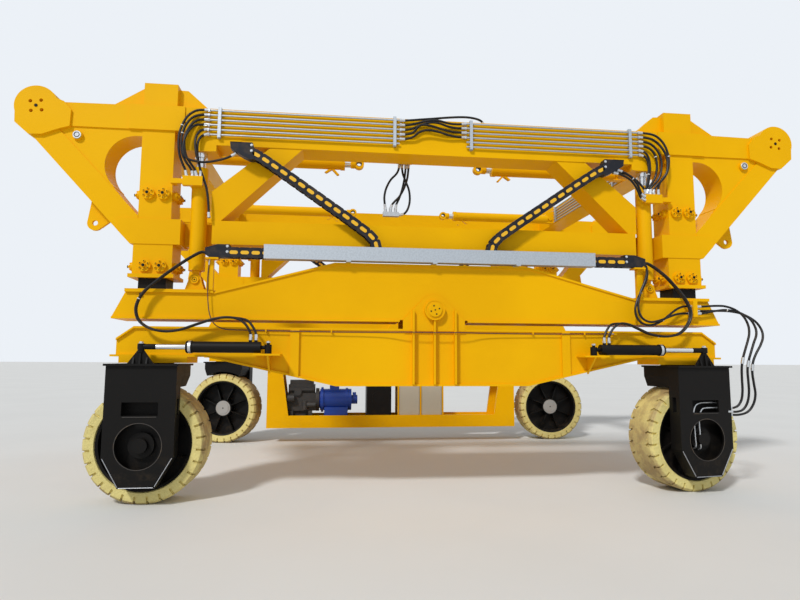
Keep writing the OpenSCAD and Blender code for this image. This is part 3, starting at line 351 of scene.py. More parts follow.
class Finish:
    """One material: its shader's own constants, and the fields that feed it."""

    def __init__(self, name, colour, roughness, metallic=0.0, **constants):
        self.material = bpy.data.materials.new(name)
        self.material.use_nodes = True
        self.tree = self.material.node_tree
        self.shader = self.tree.nodes["Principled BSDF"]
        self.feed(base_color=(*colour, 1), roughness=roughness, metallic=metallic, **constants)

    def add(self, kind, settings=None, inputs=None, output=0):
        """Adds a node: its settings first, then the values or links of its sockets, by name or number."""
        node = self.tree.nodes.new(kind)
        for name, value in (settings or {}).items():
            setattr(node, name, value)
        for key, value in (inputs or {}).items():
            self.join(node.inputs[key], value)
        return Field(self, node.outputs[output])

    def join(self, socket, value):
        """Links a field to the socket, or sets the socket to a plain value."""
        if isinstance(value, Field):
            self.tree.links.new(value.socket, socket)
        else:
            socket.default_value = value

    def feed(self, **sockets):
        """Sets the shader's sockets, named in lower case with underscores."""
        names = {s.name.lower().replace(" ", "_"): s for s in self.shader.inputs}
        for name, value in sockets.items():
            self.join(names[name], value)

    def place(self, output="Object"):
        """The point on the piece, in the piece's own coordinates, or its normal or uv."""
        return self.add("ShaderNodeTexCoord", output=output)

    def stretched(self, x, y, z):
        """The point with its coordinates multiplied, to draw out a pattern."""
        settings = {"operation": "MULTIPLY"}
        return self.add("ShaderNodeVectorMath", settings, {0: self.place(), 1: (x, y, z)})

    def part(self, vector, axis):
        """One coordinate of a vector."""
        return self.add("ShaderNodeSeparateXYZ", None, {0: vector}, output=axis)

    def noise(self, size, detail=3.0, vector=None, roughness=0.55):
        """A soft random field from about 0.3 to 0.7 whose blotches measure about size metres."""
        vector = vector or self.place()
        inputs = {"Vector": vector, "Scale": 1 / size, "Detail": detail, "Roughness": roughness}
        return self.add("ShaderNodeTexNoise", {"noise_dimensions": "3D"}, inputs)

    def blend(self, share, first, second):
        """The colour between two by a share."""
        def paint(c):
            return c if isinstance(c, Field) else (*c, 1)
        inputs = {"Factor": share, MIX_FIRST: paint(first), MIX_SECOND: paint(second)}
        return self.add("ShaderNodeMix", {"data_type": "RGBA"}, inputs, output=MIX_RESULT)

    def bumped(self, height, distance):
        """Tilts the shader's normal by a height field, as that many metres of relief."""
        self.feed(normal=self.add("ShaderNodeBump", None, {"Height": height, "Distance": distance}))


DUST = (0.30, 0.20, 0.11)
SOIL = (0.33, 0.225, 0.10)
CREAM = (0.80, 0.69, 0.26)
DARK_CREAM = (0.70, 0.59, 0.21)
# The distances from the axle between which a tyre's soil grows to the tread's
TREAD_FROM, TREAD_TO = 0.655, 0.688


def weathered_paint(name, colour, dark, roughness, dirt, low_z=1.3, **constants):
    """Sprayed paint: slow drifts of shade, fine orange peel, dust on faces that look up and near the
    ground."""
    finish = Finish(name, colour, roughness, **constants)
    drift = finish.noise(1.7, 4).clamped(0.38, 0.66)
    streaks = finish.noise(0.5, 5, finish.stretched(5, 5, 0.6)).clamped(0.50, 0.78)
    upward = finish.part(finish.place("Normal"), 2).clamped(0.3, 1.0)
    ground = 1 - finish.part(finish.place(), 2).clamped(0.1, low_z)
    speckle = finish.noise(0.09, 6).clamped(0.42, 0.66)
    grime = (streaks * 0.35 + upward * 0.45 + ground * 0.75) * (speckle * 0.75 + 0.25) * dirt
    painted = finish.blend(drift * 0.5, colour, dark)
    finish.feed(
        base_color=finish.blend(grime.clamped(0.02, 0.95), painted, DUST),
        roughness=grime * 0.5 + finish.noise(0.4, 3) * 0.14 + (roughness - 0.07),
    )
    finish.bumped(finish.noise(0.012, 2) * 0.5 + finish.noise(0.35, 3), 0.0022)
    return finish


def cast_rubber():
    """Cream solid tyre: brown soil rubbed into the tread, thinner on the sidewalls, with scuffs. The uv
    pair is the distance round the wheel and the distance from the axle."""
    finish = Finish("Tyre rubber", (0.66, 0.58, 0.27), 0.72)
    radius = finish.part(finish.place("UV"), 1)
    tread = radius.clamped(TREAD_FROM, TREAD_TO)
    patches = finish.noise(0.16, 6).clamped(0.40, 0.60)
    fine = finish.noise(0.03, 5).clamped(0.35, 0.7)
    rolled = finish.noise(0.75, 2).clamped(0.40, 0.56)
    soil = tread * (patches * 0.25 + 0.22 + rolled * 0.32) + (1 - tread) * patches * 0.14 + fine * 0.08
    cream = finish.blend(finish.noise(0.5, 4).clamped(0.35, 0.65), CREAM, DARK_CREAM)
    dirty = finish.blend(soil.clamped(0.0, 1.0), cream, SOIL)
    finish.feed(base_color=dirty, roughness=soil * 0.2 + 0.62)
    finish.bumped(patches * 0.6 + fine, 0.003)
    return finish


def bare_metal(name, colour, roughness, size):
    """Unpainted metal: spangle or brushing as a drift of shade and of roughness."""
    finish = Finish(name, colour, roughness, metallic=0.85)
    spangle = finish.noise(size, 4).clamped(0.35, 0.65)
    darker = tuple(0.90 * c for c in colour)
    shade = finish.blend(spangle, colour, darker)
    finish.feed(base_color=shade, roughness=spangle * 0.15 + (roughness - 0.05))
    finish.bumped(finish.noise(size * 0.3, 3), 0.0008)
    return finish


def moulded(name, colour, roughness, dust=0.25, **constants):
    """Moulded plastic or rubber: a fine grain, with a little dust in patches."""
    finish = Finish(name, colour, roughness, **constants)
    patches = finish.noise(0.12, 5).clamped(0.45, 0.75)
    finish.feed(
        base_color=finish.blend(patches * dust, colour, DUST),
        roughness=patches * 0.25 + roughness,
    )
    finish.bumped(finish.noise(0.006, 2), 0.0006)
    return finish


FINISHES = {
    "yellow": weathered_paint(
        "Yellow paint", (0.90, 0.478, 0.001), (0.77, 0.385, 0.001), 0.42, 0.20, specular_ior_level=0.08
    ),
    "black": weathered_paint(
        "Black paint", (0.006, 0.0055, 0.005), (0.010, 0.008, 0.007), 0.48, 0.20, 1.1, specular_ior_level=0.14
    ),
    "chrome": bare_metal("Chromed rod", (0.78, 0.80, 0.82), 0.16, 0.4),
    "tyre": cast_rubber(),
    "zinc": bare_metal("Galvanised steel", (0.50, 0.54, 0.58), 0.50, 0.02),
    "chain": moulded("Chain plastic", (0.010, 0.011, 0.017), 0.42, 0.12, specular_ior_level=0.25),
    "oval": moulded("Yellow chain insert", (0.86, 0.47, 0.01), 0.45, 0.10),
    "blue": weathered_paint("Blue paint", (0.008, 0.060, 0.42), (0.006, 0.045, 0.30), 0.36, 0.15),
    "beige": weathered_paint("Beige paint", (0.52, 0.48, 0.38), (0.44, 0.40, 0.31), 0.45, 0.35),
    "engine": weathered_paint("Engine black", (0.022, 0.022, 0.023), (0.04, 0.036, 0.03), 0.55, 0.45),
    "hose": moulded("Hose rubber", (0.008, 0.008, 0.009), 0.38, 0.08, specular_ior_level=0.3),
    "fitting": bare_metal("Plated fitting", (0.66, 0.68, 0.70), 0.30, 0.05),
    # Bright bare-metal weld beads: painted highlight where light catches the drive housings' foot and slopes
    "weld_highlight": bare_metal("Weld bead painted highlight", (0.46, 0.47, 0.49), 0.42, 0.01),
    "tie": moulded("White tie", (0.70, 0.70, 0.68), 0.5, 0.10),
    "cable": moulded("Cable sheath", (0.075, 0.022, 0.028), 0.45, 0.10),
    # Seams a little lighter than the black paint: faint painted highlight on the housings' port rim, slot lip
    # and pedestal
    "seam_highlight": moulded("Seam faint painted highlight", (0.035, 0.030, 0.026), 0.6, 0.30),
    "hub": moulded("Hub grey", (0.36, 0.35, 0.33), 0.5, 0.30),
}
NUMBER = {name: number for number, name in enumerate(FINISHES)}
SLOT_FINISH = {
    "yellow_paint": "yellow", "black_paint": "black", "chrome_rod": "chrome", "cream_tyre": "tyre",
    "galvanised": "zinc", "chain_plastic": "chain", "blue_paint": "blue", "beige_paint": "beige",
    "engine_black": "engine", "hose_rubber": "hose",
}
YELLOW, BLACK, CHROME, TYRE, CHAIN, OVAL = (
    NUMBER[name] for name in ("yellow", "black", "chrome", "tyre", "chain", "oval")
)
HOSE, FITTING, WELD_HIGHLIGHT, TIE, CABLE, SEAM_HIGHLIGHT, HUB_GREY = (
    NUMBER[name] for name in ("hose", "fitting", "weld_highlight", "tie", "cable", "seam_highlight", "hub")
)


def piece(name, shape, body, replaces=(), sharp=35):
    """Makes the shape a mesh object with its finishes, smooth below the sharp angle, riding on the body."""
    mesh = bpy.data.meshes.new(name)
    mesh.vertices.add(len(shape.points))
    mesh.vertices.foreach_set("co", shape.points.ravel())
    mesh.loops.add(len(shape.corners))
    mesh.loops.foreach_set("vertex_index", shape.corners)
    mesh.polygons.add(len(shape.sizes))
    mesh.polygons.foreach_set("loop_start", shape.starts())
    used, local = np.unique(shape.finish, return_inverse=True)
    mesh.polygons.foreach_set("material_index", local)
    mesh.uv_layers.new(name="UVMap").uv.foreach_set("vector", shape.uv.ravel())
    for number in used:
        mesh.materials.append(list(FINISHES.values())[number].material)
    mesh.update(calc_edges=True)
    mesh.validate()
    mesh.shade_smooth()
    mesh.set_sharp_from_angle(angle=math.radians(sharp))
    thing = bpy.data.objects.new(name, mesh)
    bpy.context.scene.collection.objects.link(thing)
    if isinstance(body, str):
        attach(thing, body)
    if replaces:
        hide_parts(*replaces)
    return thing


# Camera, light and floor

LENS_MM = 25.541
SENSOR_MM = 36.0
EYE = (-1.2613, -9.9030, 1.7132)
LOOK_YAW, LOOK_PITCH, LOOK_ROLL = 0.114607, 0.104577, 0.004764


def make_camera():
    """The photo's view: forward f from yaw and pitch, then the right and up vectors turned about it by the
    roll."""
    cos, sin = math.cos, math.sin
    forward = np.array([sin(LOOK_YAW) * cos(LOOK_PITCH), cos(LOOK_YAW) * cos(LOOK_PITCH), sin(LOOK_PITCH)])
    level = np.array([cos(LOOK_YAW), -sin(LOOK_YAW), 0])
    over = np.cross(level, forward)
    right = cos(LOOK_ROLL) * level + sin(LOOK_ROLL) * over
    above = cos(LOOK_ROLL) * over - sin(LOOK_ROLL) * level
    data = bpy.data.cameras.new("Camera")
    data.lens = LENS_MM
    data.sensor_width = SENSOR_MM
    camera = bpy.data.objects.new("Camera", data)
    camera.matrix_world = Matrix([
        [right[k], above[k], -forward[k], EYE[k]] for k in range(3)
    ] + [[0, 0, 0, 1]])
    bpy.context.scene.collection.objects.link(camera)
    bpy.context.scene.camera = camera


SUN_FROM = (-0.50, -0.72, 0.80)
SUN_STRENGTH = 2.1
SUN_SPREAD = 7.0
SUN_DISTANCE = 20.0
SKY = (0.93, 0.96, 1.0)
SKY_STRENGTH = 0.46
BACKDROP = (0.84, 0.88, 0.93)
FLOOR = (0.74, 0.74, 0.72)
FLOOR_REACH = 250.0


def make_light():
    """One broad soft key from the upper left front, and a sky that fills the shade and shows pale behind."""
    data = bpy.data.lights.new("Key", "SUN")
    data.energy = SUN_STRENGTH
    data.angle = math.radians(SUN_SPREAD)
    key = bpy.data.objects.new("Key", data)
    direction = Vector(np.array(SUN_FROM) / np.linalg.norm(SUN_FROM))
    aim = direction.to_track_quat("Z", "Y").to_matrix().to_4x4()
    key.matrix_world = Matrix.Translation(SUN_DISTANCE * direction) @ aim
    bpy.context.scene.collection.objects.link(key)
    world = bpy.data.worlds.new("Sky")
    bpy.context.scene.world = world
    world.use_nodes = True
    tree = world.node_tree
    tree.nodes.clear()
    rays = tree.nodes.new("ShaderNodeLightPath")
    seen = rays.outputs["Is Camera Ray"]
    for kind in ("Is Glossy Ray", "Is Transmission Ray"):
        either = tree.nodes.new("ShaderNodeMath")
        either.operation = "MAXIMUM"
        tree.links.new(seen, either.inputs[0])
        tree.links.new(rays.outputs[kind], either.inputs[1])
        seen = either.outputs[0]
    mix = tree.nodes.new("ShaderNodeMixShader")
    tree.links.new(seen, mix.inputs[0])
    for number, colour, strength in ((1, SKY, SKY_STRENGTH), (2, BACKDROP, 1.0)):
        sky = tree.nodes.new("ShaderNodeBackground")
        sky.inputs["Color"].default_value = (*colour, 1)
        sky.inputs["Strength"].default_value = strength
        tree.links.new(sky.outputs[0], mix.inputs[number])
    out = tree.nodes.new("ShaderNodeOutputWorld")
    tree.links.new(mix.outputs[0], out.inputs[0])


def make_floor():
    """A wide level sheet at z = 0 in a pale matt finish."""
    finish = Finish("Floor", FLOOR, 0.9)
    drift = finish.noise(2.5, 4).clamped(0.3, 0.7)
    finish.feed(base_color=finish.blend(drift, FLOOR, tuple(0.97 * c for c in FLOOR)))
    corners = FLOOR_REACH * np.array([(-1, -1, 0), (1, -1, 0), (1, 1, 0), (-1, 1, 0)])
    mesh = bpy.data.meshes.new("Floor")
    mesh.from_pydata(corners.tolist(), [], [(0, 1, 2, 3)])
    mesh.materials.append(finish.material)
    floor = bpy.data.objects.new("Floor", mesh)
    bpy.context.scene.collection.objects.link(floor)


make_camera()
make_light()
make_floor()
bpy.context.scene.view_settings.view_transform = "Standard"


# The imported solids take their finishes

for part in frame["record"]["subparts"]:
    solid = frame["nodes"][part["node"]]
    solid.data.materials.clear()
    solid.data.materials.append(FINISHES[SLOT_FINISH[part["material_slot"]]].material)


# Hoses: routes given in metres, each bent smooth through its points

HOSE_R = 0.015
TWIN_GAP = 0.033

# From the upper chord's pipes down to the valve blocks, and from the drag chains' heads
UPPER_LEFT = {
    "hose_upper_left": [
        (-2.88, -2.72, 4.801), (-2.95, -2.72, 4.801), (-3.03, -2.733, 4.785), (-3.105, -2.75, 4.73),
        (-3.165, -2.765, 4.63), (-3.2, -2.78, 4.5), (-3.2, -2.79, 4.37), (-3.18, -2.792, 4.25),
        (-3.14, -2.785, 4.16), (-3.09, -2.77, 4.09), (-3.06, -2.755, 4.03), (-3.06, -2.755, 3.98),
    ],
    "hose_upper_left_1": [
        (-2.88, -2.72, 4.865), (-2.95, -2.72, 4.866), (-3.06, -2.735, 4.84), (-3.16, -2.755, 4.74),
        (-3.225, -2.775, 4.56), (-3.235, -2.79, 4.40), (-3.215, -2.79, 4.24), (-3.178, -2.775, 4.13),
        (-3.145, -2.762, 4.055), (-3.13, -2.76, 3.98),
    ],
    "hose_upper_left_3": [
        (-2.88, -2.72, 4.737), (-2.94, -2.72, 4.737), (-3.02, -2.74, 4.72), (-3.10, -2.765, 4.64),
        (-3.155, -2.79, 4.50), (-3.16, -2.805, 4.36), (-3.13, -2.80, 4.22), (-3.075, -2.785, 4.13),
        (-3.03, -2.765, 4.06), (-3.01, -2.755, 3.98),
    ],
    "hose_upper_left_4": [
        (-2.88, -2.72, 4.673), (-2.95, -2.722, 4.672), (-3.06, -2.75, 4.64), (-3.13, -2.78, 4.54),
        (-3.165, -2.805, 4.41), (-3.165, -2.815, 4.27), (-3.11, -2.815, 4.185), (-3.00, -2.81, 4.155),
        (-2.88, -2.80, 4.155), (-2.74, -2.79, 4.19), (-2.62, -2.787, 4.235), (-2.53, -2.785, 4.29),
    ],
    "hose_upper_left_5": [
        (-2.88, -2.72, 4.609), (-2.93, -2.72, 4.608), (-2.99, -2.735, 4.58), (-3.03, -2.76, 4.50),
        (-3.035, -2.78, 4.38), (-3.01, -2.785, 4.24), (-2.975, -2.775, 4.12), (-2.96, -2.757, 4.04),
        (-2.96, -2.755, 3.98),
    ],
    "hose_upper_left_6": [
        (-2.88, -2.72, 4.545), (-2.925, -2.722, 4.541), (-2.975, -2.735, 4.508), (-3.005, -2.75, 4.44),
        (-3.012, -2.757, 4.34), (-2.998, -2.757, 4.20), (-2.965, -2.755, 4.07), (-2.92, -2.75, 3.95),
        (-2.88, -2.745, 3.82), (-2.855, -2.745, 3.66), (-2.84, -2.745, 3.46),
    ],
}
UPPER_RIGHT = {
    "hose_upper_right": [
        (2.88, -2.72, 4.865), (2.95, -2.72, 4.865), (3.05, -2.738, 4.85), (3.14, -2.755, 4.81),
        (3.22, -2.77, 4.72), (3.265, -2.785, 4.6), (3.28, -2.795, 4.47), (3.265, -2.797, 4.35),
        (3.22, -2.795, 4.24), (3.155, -2.785, 4.16), (3.095, -2.77, 4.1), (3.06, -2.755, 4.03),
        (3.06, -2.755, 3.98),
    ],
    "hose_upper_right_2": [
        (2.88, -2.72, 4.801), (2.96, -2.72, 4.801), (3.08, -2.745, 4.77), (3.17, -2.77, 4.68),
        (3.235, -2.80, 4.54), (3.245, -2.815, 4.40), (3.22, -2.82, 4.27), (3.15, -2.805, 4.17),
        (3.12, -2.775, 4.08), (3.12, -2.765, 3.98),
    ],
    "hose_upper_right_3": [
        (2.88, -2.72, 4.737), (2.96, -2.72, 4.737), (3.06, -2.74, 4.70), (3.14, -2.755, 4.61),
        (3.185, -2.765, 4.48), (3.175, -2.77, 4.31), (3.12, -2.765, 4.18), (3.02, -2.755, 4.07),
        (3.01, -2.755, 3.98),
    ],
    "hose_upper_right_4": [
        (2.88, -2.72, 4.673), (2.96, -2.72, 4.672), (3.05, -2.74, 4.63), (3.11, -2.75, 4.53),
        (3.125, -2.755, 4.40), (3.10, -2.75, 4.24), (3.035, -2.748, 4.13), (2.988, -2.75, 4.06),
        (2.965, -2.75, 3.98),
    ],
    "hose_upper_right_5": [
        (2.88, -2.72, 4.609), (2.93, -2.722, 4.605), (2.985, -2.73, 4.572), (3.02, -2.738, 4.50),
        (3.030, -2.742, 4.40), (3.020, -2.742, 4.26), (2.995, -2.735, 4.11), (2.985, -2.73, 3.98),
    ],
    "hose_upper_right_6": [
        (2.88, -2.72, 4.545), (2.925, -2.722, 4.541), (2.975, -2.733, 4.508), (3.003, -2.742, 4.44),
        (3.008, -2.745, 4.34), (2.992, -2.745, 4.20), (2.965, -2.740, 4.08), (2.950, -2.735, 3.98),
    ],
    "hose_chain_head_1": [
        (2.52, -2.80, 4.29), (2.62, -2.80, 4.26), (2.72, -2.797, 4.20), (2.80, -2.79, 4.12),
        (2.845, -2.78, 4.04), (2.88, -2.765, 3.975), (2.93, -2.76, 3.945),
    ],
    "hose_chain_head_3": [
        (2.46, -2.80, 4.25), (2.58, -2.80, 4.225), (2.70, -2.797, 4.165), (2.775, -2.79, 4.085),
        (2.825, -2.78, 4.00), (2.865, -2.765, 3.93), (2.93, -2.76, 3.895),
    ],
    "hose_chain_head_2": [
        (2.47, -2.765, 4.29), (2.55, -2.765, 4.275), (2.66, -2.77, 4.25), (2.78, -2.77, 4.185),
        (2.88, -2.765, 4.10), (2.93, -2.755, 4.035), (2.94, -2.75, 3.98),
    ],
}
CENTRE = {
    "hose_centre_1": [
        (-0.45, -2.72, 4.865), (-0.36, -2.722, 4.866), (-0.20, -2.725, 4.885), (0.0, -2.712, 4.915),
        (0.22, -2.685, 4.955), (0.43, -2.655, 4.985), (0.58, -2.625, 4.99), (0.69, -2.60, 4.965),
        (0.74, -2.58, 4.90),
    ],
    "hose_centre_2": [
        (-0.45, -2.72, 4.801), (-0.34, -2.722, 4.803), (-0.22, -2.735, 4.83), (-0.08, -2.755, 4.865),
        (0.06, -2.765, 4.868), (0.20, -2.75, 4.845), (0.33, -2.73, 4.848), (0.45, -2.72, 4.865),
    ],
    "hose_centre_3": [
        (-0.45, -2.72, 4.737), (-0.33, -2.722, 4.742), (-0.20, -2.738, 4.79), (-0.07, -2.758, 4.835),
        (0.06, -2.765, 4.835), (0.20, -2.75, 4.80), (0.33, -2.727, 4.795), (0.45, -2.72, 4.801),
    ],
    "hose_centre_4": [
        (-0.45, -2.72, 4.673), (-0.36, -2.722, 4.674), (-0.27, -2.74, 4.70), (-0.215, -2.757, 4.765),
        (-0.15, -2.762, 4.80), (-0.03, -2.765, 4.79), (0.12, -2.755, 4.755), (0.28, -2.73, 4.737),
        (0.45, -2.72, 4.737),
    ],
    "hose_centre_5": [
        (-0.45, -2.72, 4.609), (-0.37, -2.722, 4.610), (-0.27, -2.74, 4.64), (-0.19, -2.757, 4.70),
        (-0.08, -2.765, 4.73), (0.06, -2.762, 4.715), (0.20, -2.745, 4.685), (0.33, -2.727, 4.672),
        (0.45, -2.72, 4.673),
    ],
}
# Into the bay from the near chord: the last points lie at the coupling block or at its studs
BAY = {
    "hose_bay": [
        (-0.36, -2.25, 4.44), (-0.36, -2.25, 4.37), (-0.345, -2.25, 4.28), (-0.305, -2.25, 4.18),
        (-0.265, -2.25, 4.075), (-0.25, -2.25, 3.97), (-0.255, -2.25, 3.875), (-0.28, -2.25, 3.79),
        (-0.318, -2.25, 3.735), (-0.365, -2.25, 3.71), (-0.405, -2.25, 3.71),
    ],
    "hose_bay_1": [
        (-0.31, -2.25, 4.44), (-0.312, -2.247, 4.35), (-0.33, -2.24, 4.20), (-0.36, -2.235, 4.06),
        (-0.40, -2.24, 3.94), (-0.44, -2.248, 3.85), (-0.45, -2.25, 3.779),
    ],
    "hose_bay_2": [
        (-0.27, -2.25, 4.44), (-0.272, -2.255, 4.36), (-0.29, -2.268, 4.22), (-0.335, -2.275, 4.08),
        (-0.40, -2.27, 3.96), (-0.46, -2.262, 3.895), (-0.503, -2.253, 3.84), (-0.52, -2.25, 3.779),
    ],
    "hose_bay_3": [
        (-0.40, -2.25, 4.44), (-0.405, -2.25, 4.37), (-0.44, -2.25, 4.29), (-0.52, -2.25, 4.20),
        (-0.58, -2.25, 4.08), (-0.605, -2.25, 3.96), (-0.60, -2.25, 3.86), (-0.59, -2.25, 3.779),
    ],
}
# From the lower drag chains over the gap to the axle beam's steering cylinders and to the bulkhead
LOWER = {
    "hose_lower_left": [
        (-2.85, -2.785, 3.015), (-2.92, -2.785, 3.015), (-3.04, -2.8, 2.94), (-3.17, -2.82, 2.84),
        (-3.3, -2.84, 2.73), (-3.43, -2.86, 2.61), (-3.53, -2.87, 2.51), (-3.59, -2.88, 2.4),
        (-3.61, -2.885, 2.29), (-3.58, -2.885, 2.18), (-3.5, -2.885, 2.1), (-3.38, -2.885, 2.05),
        (-3.24, -2.885, 2.035), (-3.08, -2.885, 2.06), (-2.9, -2.885, 2.125), (-2.72, -2.89, 2.185),
        (-2.56, -2.9, 2.21), (-2.42, -2.91, 2.19), (-2.32, -2.92, 2.12), (-2.261, -2.92, 2.01),
        (-2.261, -2.92, 1.937),
    ],
    "hose_lower_right": [
        (2.85, -2.785, 3.015), (2.92, -2.785, 3.015), (3.03, -2.8, 2.945), (3.15, -2.82, 2.84),
        (3.26, -2.84, 2.71), (3.35, -2.855, 2.59), (3.41, -2.87, 2.48), (3.44, -2.885, 2.37),
        (3.42, -2.895, 2.26), (3.35, -2.9, 2.15), (3.25, -2.905, 2.07), (3.12, -2.905, 2.035),
        (2.98, -2.905, 2.035), (2.83, -2.905, 2.065), (2.68, -2.905, 2.13), (2.54, -2.905, 2.185),
        (2.42, -2.91, 2.19), (2.32, -2.92, 2.12), (2.261, -2.92, 2.01), (2.261, -2.92, 1.937),
    ],
}
# Each has a twin behind it, which parts from it for the cylinder's second port
TO_SECOND_PORT = [
    (2.335, -2.885, 2.185), (2.245, -2.905, 2.105), (2.196, -2.92, 2.005), (2.196, -2.92, 1.937),
]
for name in list(LOWER):
    end = np.sign(LOWER[name][-1][0])
    beside = [(x, y + TWIN_GAP, z) for x, y, z in LOWER[name][:-len(TO_SECOND_PORT)]]
    LOWER[name + "_2"] = beside + [(end * x, y, z) for x, y, z in TO_SECOND_PORT]
TO_BULKHEAD = {
    "hose_bulkhead_1": [
        (2.85, -2.81, 3.00), (2.875, -2.812, 2.96), (2.88, -2.82, 2.87), (2.85, -2.83, 2.76),
        (2.78, -2.84, 2.64), (2.71, -2.85, 2.51), (2.67, -2.86, 2.39), (2.685, -2.865, 2.28),
        (2.76, -2.87, 2.20), (2.88, -2.865, 2.18), (3.02, -2.86, 2.23), (3.15, -2.85, 2.32),
        (3.27, -2.835, 2.40), (3.39, -2.815, 2.44), (3.505, -2.80, 2.44),
    ],
    "hose_bulkhead_2": [
        (2.85, -2.83, 2.98), (2.868, -2.835, 2.90), (2.83, -2.845, 2.77), (2.755, -2.86, 2.62),
        (2.71, -2.87, 2.47), (2.71, -2.88, 2.35), (2.76, -2.885, 2.26), (2.86, -2.885, 2.22),
        (2.99, -2.88, 2.24), (3.13, -2.865, 2.29), (3.26, -2.84, 2.33), (3.38, -2.815, 2.345),
        (3.505, -2.80, 2.345),
    ],
}
# From the bulkhead out to a meeting point on the axle beam's side of the gap, and on into the drive housing
OUTWARD = {
    "hose_outward_1": [
        (3.565, -2.80, 2.44), (3.68, -2.80, 2.445), (3.84, -2.805, 2.455), (3.98, -2.815, 2.45),
        (4.11, -2.84, 2.40), (4.20, -2.87, 2.31), (4.24, -2.895, 2.19), (4.235, -2.91, 2.08),
        (4.20, -2.92, 1.98),
    ],
    "hose_outward_2": [
        (3.565, -2.80, 2.345), (3.68, -2.80, 2.355), (3.84, -2.805, 2.385), (4.00, -2.815, 2.40),
        (4.16, -2.845, 2.365), (4.28, -2.88, 2.28), (4.33, -2.91, 2.16), (4.32, -2.93, 2.06),
        (4.275, -2.935, 1.96),
    ],
    "hose_outward_3": [
        (3.565, -2.77, 2.39), (3.69, -2.77, 2.385), (3.87, -2.775, 2.39), (4.06, -2.79, 2.385),
        (4.23, -2.82, 2.345), (4.37, -2.86, 2.25), (4.43, -2.895, 2.13), (4.42, -2.92, 2.02),
        (4.37, -2.93, 1.92),
    ],
}
INTO_HOUSING = {
    "hose_housing_1": [
        (4.20, -2.92, 1.98), (4.155, -2.925, 1.87), (4.12, -2.92, 1.76), (4.10, -2.91, 1.63),
        (4.105, -2.895, 1.48), (4.115, -2.88, 1.33), (4.105, -2.865, 1.21), (4.06, -2.855, 1.13),
        (3.99, -2.85, 1.10), (3.90, -2.848, 1.10),
    ],
    "hose_housing_2": [
        (4.275, -2.935, 1.96), (4.225, -2.94, 1.84), (4.185, -2.94, 1.73), (4.165, -2.93, 1.60),
        (4.175, -2.92, 1.45), (4.19, -2.90, 1.30), (4.175, -2.88, 1.17), (4.12, -2.865, 1.08),
        (4.03, -2.86, 1.05), (3.90, -2.858, 1.055),
    ],
    "hose_housing_3": [
        (4.37, -2.93, 1.92), (4.30, -2.93, 1.81), (4.25, -2.93, 1.70), (4.235, -2.925, 1.57),
        (4.26, -2.91, 1.42), (4.285, -2.895, 1.28), (4.26, -2.88, 1.15), (4.19, -2.86, 1.05),
        (4.07, -2.85, 1.01), (3.90, -2.84, 1.01),
    ],
}

# A thin cable from the tray's post down over the gap, then along under the axle beam's upper flange
CABLE_R = 0.006
CABLE_DROP = [
    (-2.80, -2.80, 2.926), (-2.812, -2.80, 2.70), (-2.80, -2.80, 2.42), (-2.77, -2.80, 2.24),
    (-2.71, -2.80, 2.13), (-2.60, -2.79, 2.075), (-2.45, -2.775, 2.064),
]
CABLE_ALONG = [
    (-2.45, -2.775, 2.064), (-1.9, -2.776, 2.058), (-1.3, -2.776, 2.052), (-0.7, -2.79, 2.054),
    (-0.42, -2.83, 2.056), (-0.27, -2.842, 2.056), (0, -2.842, 2.054), (0.27, -2.842, 2.056),
    (0.42, -2.83, 2.056), (0.7, -2.79, 2.054), (1.3, -2.776, 2.052), (1.9, -2.776, 2.058),
    (2.40, -2.775, 2.064),
]


# Length and thickness of a tie and of a union, and the share of a hose's length at which a union's middle
# sits
TIE_SIZE = (0.012, 0.004)
UNION_SIZE = (0.085, 0.006)
UNION_AT = 0.26


def sleeve(path, middle, length, thickness, finish):
    """A sleeve round a hose whose middle lies at a share of the path."""
    centre = middle * length_along(path)[-1]
    return tube(evenly(path, [centre - length / 2, centre + length / 2]), HOSE_R + thickness, 10, finish)


def hose(name, route, bodies, radius=HOSE_R, finish=HOSE, ties=(), unions=()):
    """A free hose or cable along its route, with its ties and unions as a piece beside it. One body carries
    it; given two bodies, it rides on neither and stays where it is drawn."""
    path = curve(route, 5)
    bands = [sleeve(path, share, *TIE_SIZE, TIE) for share in ties]
    bands += [sleeve(path, share, *UNION_SIZE, FITTING) for share in unions]
    body = bodies if isinstance(bodies, str) else None
    stands_for = [name] if name in frame["nodes"] else []
    thing = piece(name + "_dressed", tube(path, radius, 10, finish), body, stands_for)
    things = [thing, piece(name + "_bands", join(*bands), body)] if bands else [thing]
    if body is None:
        for moved in things:
            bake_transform(moved)
    2 * radius
    return path


# Distances from a hose's end, and radii as multiples of the hose's
COLLAR_AT = (0.022, 0.035, 0.070)
COLLAR_R = 1.28
NUT_AT = (0.0, 0.024)
NUT_R = 1.55


def ferrule(path, at_end, radius=HOSE_R):
    """A swaged collar and its nut round the first or the last 70 mm of a hose's path."""
    line = path[::-1] if at_end else path
    collar = tube(evenly(line, COLLAR_AT), radius * COLLAR_R, 10, FITTING)
    nut = tube(evenly(line, NUT_AT), radius * NUT_R, 6, FITTING)
    return join(collar, nut)


# The block under the flange that the cable runs into, and one of its clips, by two corners
CABLE_END = ((2.400, -2.790, 2.050), (2.440, -2.745, 2.075))
CLIP = ((-0.008, -2.784, 2.046), (0.008, -2.745, 2.075))
CLIPS_X = (-2.1, -1.3, 1.3, 2.0)
